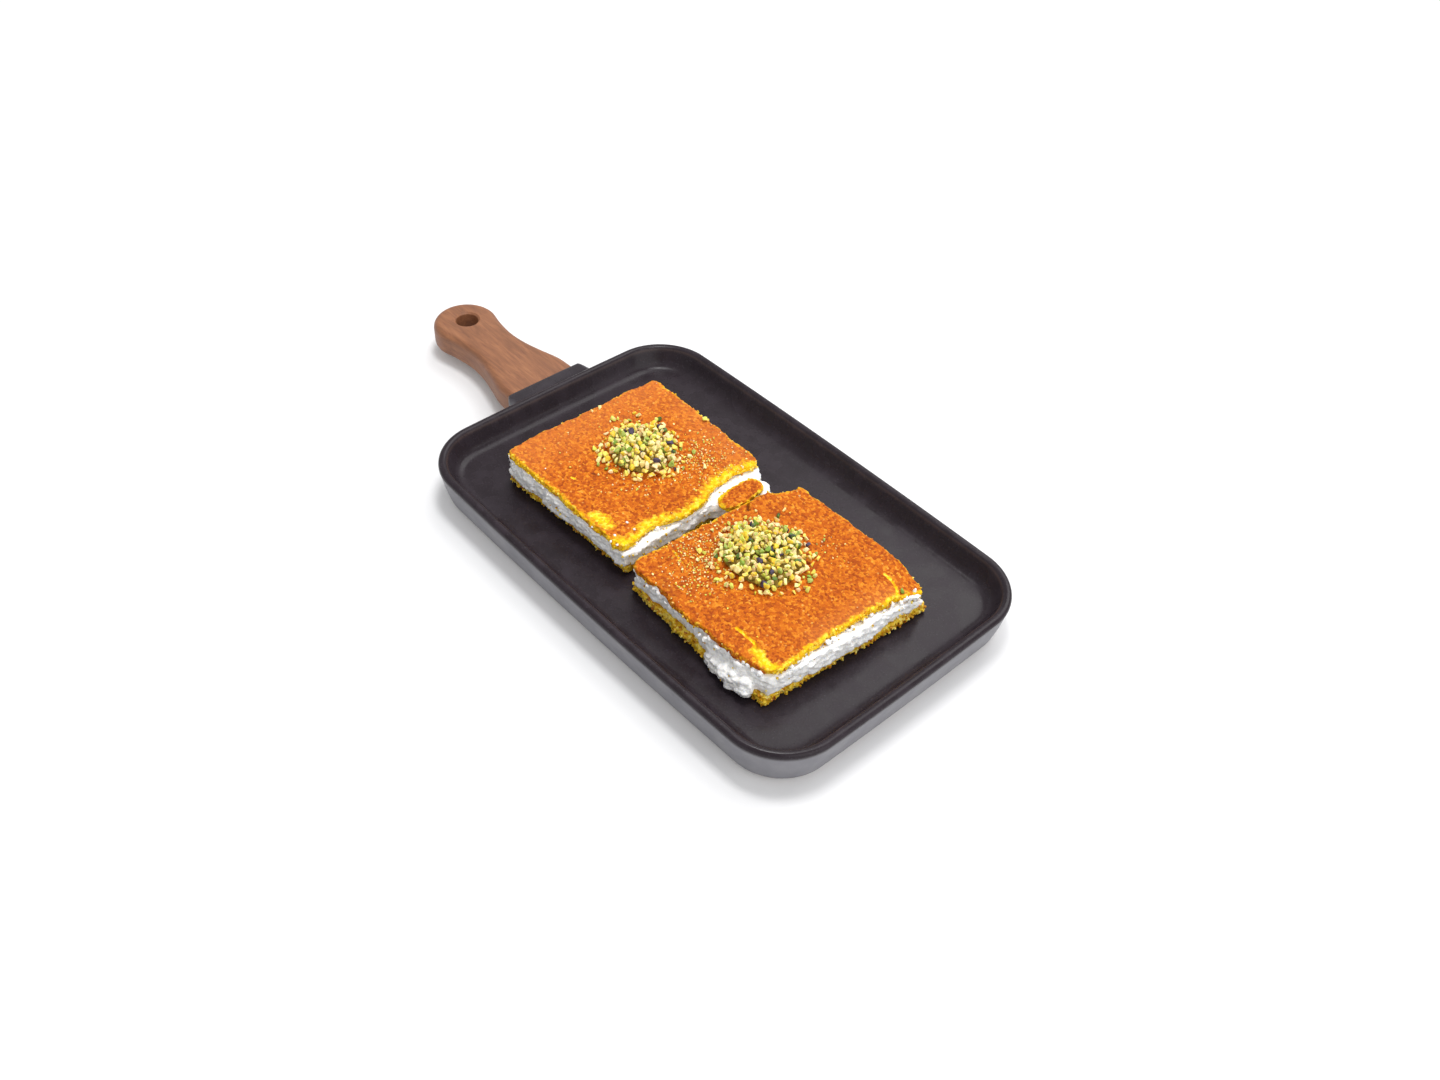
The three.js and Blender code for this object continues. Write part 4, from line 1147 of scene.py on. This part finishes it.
for seed, (name, placed_balls) in enumerate(SMEARS.items()):
    draw = np.random.default_rng(100 + seed)
    balls = [(*on_tray(x, y), z * MM, *(np.array(sizes) * MM)) for x, y, z, *sizes in placed_balls]
    for edge in TORN_EDGES[name]:
        balls += torn_edge(*edge, draw)
    work = bmesh.new()
    for x, y, z, along, across, tall in balls:
        shape = Matrix.Diagonal((along, across, tall, 1))
        bmesh.ops.create_icosphere(work, subdivisions=2, radius=1,
                                   matrix=Matrix.Translation((x, y, z)) @ shape)
    mesh = bpy.data.meshes.new(f"{name}_cream_smears")
    work.to_mesh(mesh)
    work.free()
    smears = even_skin(linked(mesh.name, mesh), SMEAR_VOXEL, smoothing=2)
    store(smears, "side", np.ones(len(smears.data.vertices)))
    run(RELIEF, smears, {
        "Lump size": 1.5 * MM, "Lump depth on top": 0.0, "Lump depth at sides": 1.8 * MM,
        "Grain size": 1.2 * MM, "Grain depth": 0.2 * MM, "Squash": 1.0, "Swell": 0.0,
        "Seed": 15.0 + seed, "Material": CLOTTED_CREAM,
    })
    keep(smears, "clotted_cream")

# %% [markdown]
# ## Chopped pistachio
# The nuts were chopped with a knife into bits of two to four millimetres, with flat cut faces and
# sharp corners. A convex hull round a few scattered points, with its edges broken a little, is just
# such a bit and has about a hundred faces. Eight of them are enough, because a geometry tree turns
# and resizes each copy. The tree spreads points over a host surface, never closer than a bit is
# wide, where the host's attribute `here` allows, and puts a bit on each point. Every bit also gets a
# random number, its tint, out of a range that the caller gives.

# %% Eight bits of nut
def bit_collection(name, count, corners, flatness, broken_edge, seed):
    """A collection of small convex bits, each about one millimetre across."""
    draw = np.random.default_rng(seed)
    group = bpy.data.collections.new(name)
    for number in range(count):
        work = bmesh.new()
        for _ in range(corners):
            way = draw.normal(size=3)
            way *= draw.uniform(0.85, 1.0) / np.linalg.norm(way)
            work.verts.new(Vector(way * (0.54, 0.42, flatness)) * MM)
        hull = bmesh.ops.convex_hull(work, input=work.verts)
        spare = {g for g in hull["geom_interior"] + hull["geom_unused"] if isinstance(g,
                                                                                      bmesh.types.BMVert)}
        bmesh.ops.delete(work, geom=list(spare), context="VERTS")
        if broken_edge:
            bmesh.ops.bevel(work, geom=list(work.edges), offset=broken_edge * MM, segments=1,
                            affect="EDGES",
                            clamp_overlap=True)
        bmesh.ops.recalc_face_normals(work, faces=work.faces)
        mesh = bpy.data.meshes.new(f"{name}_{number}")
        work.to_mesh(mesh)
        work.free()
        group.objects.link(bpy.data.objects.new(mesh.name, mesh))
    return group


CHOPPED = bit_collection("chopped", 8, 11, 0.36, 0.035, 11)
CRUMBS = bit_collection("crumbs", 6, 12, 0.42, 0, 12)

# %% A tree that sprinkles bits over a host
def sprinkle_tree():
    """Bits at random places of the host's faces, where its attribute `here` allows them."""
    tree, given = geometry_tree("sprinkle", {
        "Bits": "Collection", "Spacing": "Float", "Most per square metre": "Float", "Smallest": "Float",
        "Largest": "Float", "Lift": "Float", "Lowest tint": "Float", "Highest tint": "Float",
        "Seed": "Int", "Material": "Material",
    })
    here = add(tree, "GeometryNodeInputNamedAttribute", {"Name": "here"}, data_type="FLOAT").outputs[0]
    allowed = add(tree, "FunctionNodeCompare", {0: here, 1: 0.004}, data_type="FLOAT",
                  operation="GREATER_THAN")
    host = add(tree, "GeometryNodeSeparateGeometry",
               {"Geometry": given["Geometry"], "Selection": allowed.outputs[0]}, domain="FACE")
    spread = add(tree, "GeometryNodeDistributePointsOnFaces",
                 {"Mesh": host.outputs[0], "Distance Min": given["Spacing"],
                  "Density Max": given["Most per square metre"], "Density Factor": here,
                  "Seed": given["Seed"]},
                 distribute_method="POISSON")
    size = add(tree, "FunctionNodeRandomValue",
               {2: given["Smallest"], 3: given["Largest"], "Seed": given["Seed"]},
               data_type="FLOAT").outputs[1]
    rise = add(tree, "ShaderNodeMath", {0: size, 1: given["Lift"]}, operation="MULTIPLY").outputs[0]
    up = add(tree, "ShaderNodeVectorMath", {0: spread.outputs["Normal"], "Scale": rise}, operation="SCALE")
    lifted = add(tree, "GeometryNodeSetPosition", {"Geometry": spread.outputs["Points"],
                                                   "Offset": up.outputs[0]})
    turn = add(tree, "FunctionNodeRandomValue",
               {0: (0, 0, 0), 1: (math.tau, math.tau, math.tau), "Seed": given["Seed"]},
               data_type="FLOAT_VECTOR").outputs[0]
    choice = add(tree, "GeometryNodeCollectionInfo",
                 {"Collection": given["Bits"], "Separate Children": True, "Reset Children": True})
    scale = add(tree, "ShaderNodeMath", {0: size, 1: 1 * MM}, operation="DIVIDE").outputs[0]
    placed = add(tree, "GeometryNodeInstanceOnPoints",
                 {"Points": lifted.outputs[0], "Instance": choice.outputs[0], "Pick Instance": True,
                  "Rotation": turn, "Scale": scale})
    number = add(tree, "GeometryNodeInputIndex").outputs[0]
    tint = add(tree, "FunctionNodeRandomValue",
               {2: given["Lowest tint"], 3: given["Highest tint"], "ID": number, "Seed": 5},
               data_type="FLOAT").outputs[1]
    marked = add(tree, "GeometryNodeStoreNamedAttribute",
                 {"Geometry": placed.outputs[0], "Name": "tint", "Value": tint}, data_type="FLOAT",
                 domain="INSTANCE")
    real = add(tree, "GeometryNodeRealizeInstances", {"Geometry": marked.outputs[0]})
    dressed = add(tree, "GeometryNodeSetMaterial", {"Geometry": real.outputs[0],
                                                    "Material": given["Material"]})
    add(tree, "NodeGroupOutput", {"Geometry": dressed.outputs[0]})
    return tree


SPRINKLE = sprinkle_tree()


def sprinkled(name, host, here, values):
    """A new piece: bits over a copy of the host, more where `here` is nearer to 1."""
    piece = linked(name, host.data.copy())
    store(piece, "here", here)
    return run(SPRINKLE, piece, {"Lowest tint": 0.0, "Highest tint": 1.0, **values})


# %% [markdown]
# Pistachio is pale yellow-green inside, greener towards the outside of the kernel, and the papery
# skin is purple-brown. So most bits are pale, some are green, a few are dark, and a single bit can
# be both. The tint picks a bit's colour from steps that run from the palest to the darkest. Between
# the bits lies fine meal, painted dark olive as the shade that lies there, where little light gets
# down.

# %% Pistachio materials
def chopped_pistachio():
    """Chopped pistachio kernel: pale yellow, green and cream, with scraps of purple skin."""
    finish, tree, shader, place = surface("chopped pistachio")
    tint = add(tree, "ShaderNodeAttribute", attribute_name="tint")
    kernel = add(tree, "ShaderNodeValToRGB", {0: tint.outputs["Fac"]},
                 stops=[(0, "#fbeda4"), (0.22, "#f3dc62"), (0.38, "#fbdfa8"), (0.58, "#ebcb38"),
                        (0.7, "#d3da5c"),
                        (0.82, "#b0c060"), (0.9, "#86a43c"), (0.95, "#5b7a30"), (0.985, "#4a4058"),
                        (1, "#4a4058")])
    kernel.color_ramp.interpolation = "CONSTANT"
    spots = add(tree, "ShaderNodeTexNoise", {"Vector": place, "Scale": 1 / (1.5 * MM), "Detail": 2.0})
    part = add(tree, "ShaderNodeMapRange",
               {"Value": spots.outputs["Fac"], "From Min": 0.52, "From Max": 0.58, "To Min": 0.0,
                "To Max": 0.8})
    rind = add(tree, "ShaderNodeValToRGB", {0: tint.outputs["Fac"]},
               stops=[(0, "#edd36a"), (0.15, "#c6d458"), (0.3, "#e0b472"), (0.45, "#a4ba48"),
                      (0.6, "#ecca94"),
                      (0.8, "#7f9a3c"), (0.94, "#453b4c"), (1, "#453b4c")])
    rind.color_ramp.interpolation = "CONSTANT"
    tone = add(tree, "ShaderNodeMix",
               {MIX_FACTOR: part.outputs[0], MIX_A: kernel.outputs[0], MIX_B: rind.outputs[0]},
               data_type="RGBA")
    tree.links.new(tone.outputs[MIX_COLOUR], shader.inputs["Base Color"])
    bump = add(tree, "ShaderNodeBump", {"Strength": 0.3, "Distance": 0.2 * MM,
                                        "Height": spots.outputs["Fac"]})
    tree.links.new(bump.outputs[0], shader.inputs["Normal"])
    shader.inputs["Roughness"].default_value = 0.55
    shader.inputs["Specular IOR Level"].default_value = 0.35
    shader.inputs["Subsurface Weight"].default_value = 0.1
    shader.inputs["Subsurface Scale"].default_value = 1 * MM
    return finish


def shade_dark_pistachio_meal():
    """Fine meal of pistachio, olive and rough, painted darker as the shade between the bits, with lighter
    and darker grains.
    """
    finish, tree, shader, place = surface("pistachio meal")
    grains = add(tree, "ShaderNodeTexNoise", {"Vector": place, "Scale": 1 / (0.9 * MM), "Detail": 2.0})
    tone = add(tree, "ShaderNodeValToRGB", {0: grains.outputs["Fac"]},
               stops=[(0, "#5c4a1c"), (0.42, "#80692a"), (0.56, "#9c8536"), (1, "#c2ac5c")])
    tree.links.new(tone.outputs[0], shader.inputs["Base Color"])
    shader.inputs["Roughness"].default_value = 0.8
    shader.inputs["Specular IOR Level"].default_value = 0.2
    return finish


PISTACHIO = chopped_pistachio()
# The meal's dark colour is painted shade, for the gaps between the bits.
SHADE_MEAL = shade_dark_pistachio_meal()

# %% [markdown]
# Each heap keeps the outline of its solid. A first layer of bits covers a copy of that solid, sides
# too, and a second, looser one lies on top of it in the middle. Then the copy is drawn in and let
# down a little, so that it is a core of fine meal, painted dark as shade, that only shows between
# the bits.

# %% Heaps
HEAPS = {"back": (-48.5, -2, 18.6), "front": (37.6, -7, 21.8)}
MEAL_INSET = 2.4
MEAL_DROP = 0.7 * MM
for seed, (name, (x, y, radius)) in enumerate(HEAPS.items()):
    core = solid_copy(f"{name}_nuts", f"{name}_nut_core")
    even_skin(core, 0.8 * MM, smoothing=10)
    places, normals = points_of(core)
    store(core, "side", np.ones(len(places)))
    run(RELIEF, core, {
        "Lump size": 2.2 * MM, "Lump depth on top": 0.0, "Lump depth at sides": 1.4 * MM,
        "Grain size": 1.5 * MM, "Grain depth": 0.4 * MM, "Squash": 1.0, "Swell": -0.5 * MM,
        "Seed": 12.0 + seed, "Material": SHADE_MEAL,
    })
    up = eased(normals[:, 2], -0.6, -0.2)
    bits = sprinkled(f"{name}_chopped_pistachio", core, up, {
        "Bits": CHOPPED, "Spacing": 2.4 * MM, "Most per square metre": 3e6, "Smallest": 3.0 * MM,
        "Largest": 4.8 * MM, "Lift": 0.2, "Seed": 21 + seed, "Material": PISTACHIO,
    })
    out = np.linalg.norm(places[:, :2] - on_tray(x, y), axis=1)
    middle_share = 1 - eased(out, 0.62 * radius * MM, 0.95 * radius * MM)
    top_bits = sprinkled(f"{name}_pistachio_on_top", core, up * middle_share, {
        "Bits": CHOPPED, "Spacing": 3.1 * MM, "Most per square metre": 3e6, "Smallest": 3.0 * MM,
        "Largest": 4.6 * MM, "Lift": 0.62, "Seed": 31 + seed, "Material": PISTACHIO,
    })
    places, normals = points_of(core)
    middle = on_tray(x, y)
    places[:, :2] = middle + (places[:, :2] - middle) * (1 - MEAL_INSET / radius)
    places[:, 2] -= MEAL_DROP
    core.data.vertices.foreach_set("co", places.ravel())
    core.data.update()
    keep(core, "chopped_pistachio", f"{name}_nuts")
    keep(bits, "chopped_pistachio", f"{name}_nuts")
    keep(top_bits, "chopped_pistachio", f"{name}_nuts")

# %% [markdown]
# ## Strays, dust and crumbs
# Nothing about a real plate is confined to its heap. A few bits of nut rolled across the crust, fine
# nut dust fell beside each heap, and crumbs cling to the cut sides. The same tree sprinkles them
# all. Where one bit is wanted at one place, `here` is 1 in a spot smaller than the spacing, so that
# the tree can put only one bit there.

# %% Strays and dust on the crusts
STRAYS = {
    "back": [(-33, 17), (-24, 22), (-21, 13), (-29, 26), (-67, -24), (-50, -38), (-15, 2), (-26, 19),
             (-30, 11),
             (-84.6, -3.5), (-84.4, 0.8), (-46, 35.8)],
    "front": [(22, -30), (31, -37), (37, -40), (17, -20), (14, -33), (20, -25), (89, 26.5), (48, 21),
              (12, -12)],
}
DUST = {
    "back": [(-28, 14, 15, 1.0), (-36, -14, 12, 0.6), (-62, 6, 12, 0.25), (-20, 20, 10, 0.7)],
    "front": [(18, -24, 15, 1.0), (30, -35, 11, 0.9), (14, -10, 10, 0.6), (50, 18, 8, 0.3)],
}
SPOT_RADIUS = 0.9 * MM
STRAY_NEAR_HEAP = 0.5
STRAY_REACH = 3.0
DUST_ALL_OVER = 0.009


def spots_at(places, plan):
    """1 within a small spot round each place of the plan, 0 elsewhere."""
    spots = np.zeros(len(places))
    for x, y in plan:
        spots[np.linalg.norm(places[:, :2] - on_tray(x, y), axis=1) < SPOT_RADIUS] = 1
    return spots


for seed, name in enumerate(CRUSTS):
    places, normals = points_of(crusts[name])
    up = normals[:, 2] > 0.6
    x, y, radius = HEAPS[name]
    from_heap = places[:, :2] - on_tray(x, y)
    beyond = np.linalg.norm(from_heap, axis=1) / MM - radius
    reach = STRAY_REACH * (1 + 0.6 * np.sin(3 * np.arctan2(from_heap[:, 1], from_heap[:, 0]) + seed))
    near_heap = STRAY_NEAR_HEAP * np.exp(-((beyond / reach) ** 2))
    wanted = np.maximum(spots_at(places, STRAYS[name]), near_heap)
    strays = sprinkled(f"{name}_stray_pistachio", crusts[name], wanted * up, {
        "Bits": CHOPPED, "Spacing": 2.0 * MM, "Most per square metre": 6e6, "Smallest": 2.2 * MM,
        "Largest": 4.0 * MM, "Lift": 0.25, "Seed": 41 + seed, "Material": PISTACHIO,
    })
    keep(strays, "chopped_pistachio")
    fallen = np.full(len(places), DUST_ALL_OVER)
    for x, y, reach, share in DUST[name]:
        away = np.linalg.norm(places[:, :2] - on_tray(x, y), axis=1)
        fallen = np.maximum(fallen, share * np.exp(-((away / (reach * MM)) ** 2)))
    dust = sprinkled(f"{name}_pistachio_dust", crusts[name], fallen * up, {
        "Bits": CRUMBS, "Spacing": 0.8 * MM, "Most per square metre": 0.7e6, "Smallest": 0.45 * MM,
        "Largest": 1.4 * MM, "Lift": 0.3, "Highest tint": 0.8, "Seed": 51 + seed, "Material": PISTACHIO,
    })
    keep(dust, "chopped_pistachio")

# %% Crumbs on the cut sides and on the ledges of cream
LEDGE_CRUMBS = {
    "back": [(-4.4, -42.2), (-6.3, -21.9), (-5.2, -23.8), (-4.8, -9.6), (-4.8, -30.1), (-5.2, -26.2),
             (-3.4, 1.2)],
    "front": [(4.2, 14), (6.1, -8), (3.6, -24), (5.4, 24), (70, -54), (30, -52.6)],
}
CREAM_CRUMB_SHARE = 0.035
CRUMBLED_EDGE = {
    "back": [(-5.4, -46), (-5, -22), (-3.4, 2), (-9, 12), (-11.5, 24)],
    "front": [(86, -48), (88.6, -20), (90, 10), (93, 32)],
}
CRUMBLED_REACH = 3.2
CRUMBLED_SHARE = 0.25
EDGE_CRUMBS = {
    "back": {"+x": 1.0, "-x": 0.25, "+y": 0.4, "-y": 0.4},
    "front": {"+x": 1.0, "-x": 0.4, "+y": 0.3, "-y": 0.25},
}
for seed, name in enumerate(CRUSTS):
    places, normals = points_of(bases[name])
    outward = (np.abs(normals[:, 2]) < 0.6).astype(float)
    crumbs = sprinkled(f"{name}_base_crumbs", bases[name], outward, {
        "Bits": CRUMBS, "Spacing": 1.0 * MM, "Most per square metre": 0.7e6, "Smallest": 0.8 * MM,
        "Largest": 2.4 * MM, "Lift": 0.1, "Seed": 61 + seed, "Material": SYRUPY_CRUMB,
    })
    keep(crumbs, "syrup_soaked_crumb")
    places, normals = points_of(crusts[name])
    outward = sum(
        EDGE_CRUMBS[name][side] * np.clip(normals[:, :2] @ way, 0, 1) ** 2
        for side, way in WAYS.items()
    )
    edge_crumbs = sprinkled(f"{name}_crust_edge_crumbs", crusts[name], outward * (normals[:, 2] < 0.5), {
        "Bits": CRUMBS, "Spacing": 1.2 * MM, "Most per square metre": 0.5e6, "Smallest": 0.8 * MM,
        "Largest": 2.0 * MM, "Lift": 0.1, "Seed": 66 + seed, "Material": SYRUPY_CRUMB,
    })
    keep(edge_crumbs, "browned_crumb")
    places, normals = points_of(creams[name])
    torn = np.empty(len(places), dtype=np.float32)
    creams[name].data.attributes["side"].data.foreach_get("value", torn)
    wanted = np.maximum(CREAM_CRUMB_SHARE * torn, spots_at(places,
                                                           LEDGE_CRUMBS[name]) * (normals[:, 2] > 0.4))
    fallen = CRUMBLED_SHARE * line_share(places, CRUMBLED_EDGE[name], CRUMBLED_REACH)
    wanted = np.maximum(wanted, fallen * torn * (normals[:, 2] > -0.2))
    specks = sprinkled(f"{name}_crumbs_on_cream", creams[name], wanted, {
        "Bits": CRUMBS, "Spacing": 1.6 * MM, "Most per square metre": 1.5e6, "Smallest": 0.6 * MM,
        "Largest": 1.8 * MM, "Lift": 0.2, "Seed": 71 + seed, "Material": SYRUPY_CRUMB,
    })
    keep(specks, "syrup_soaked_crumb")
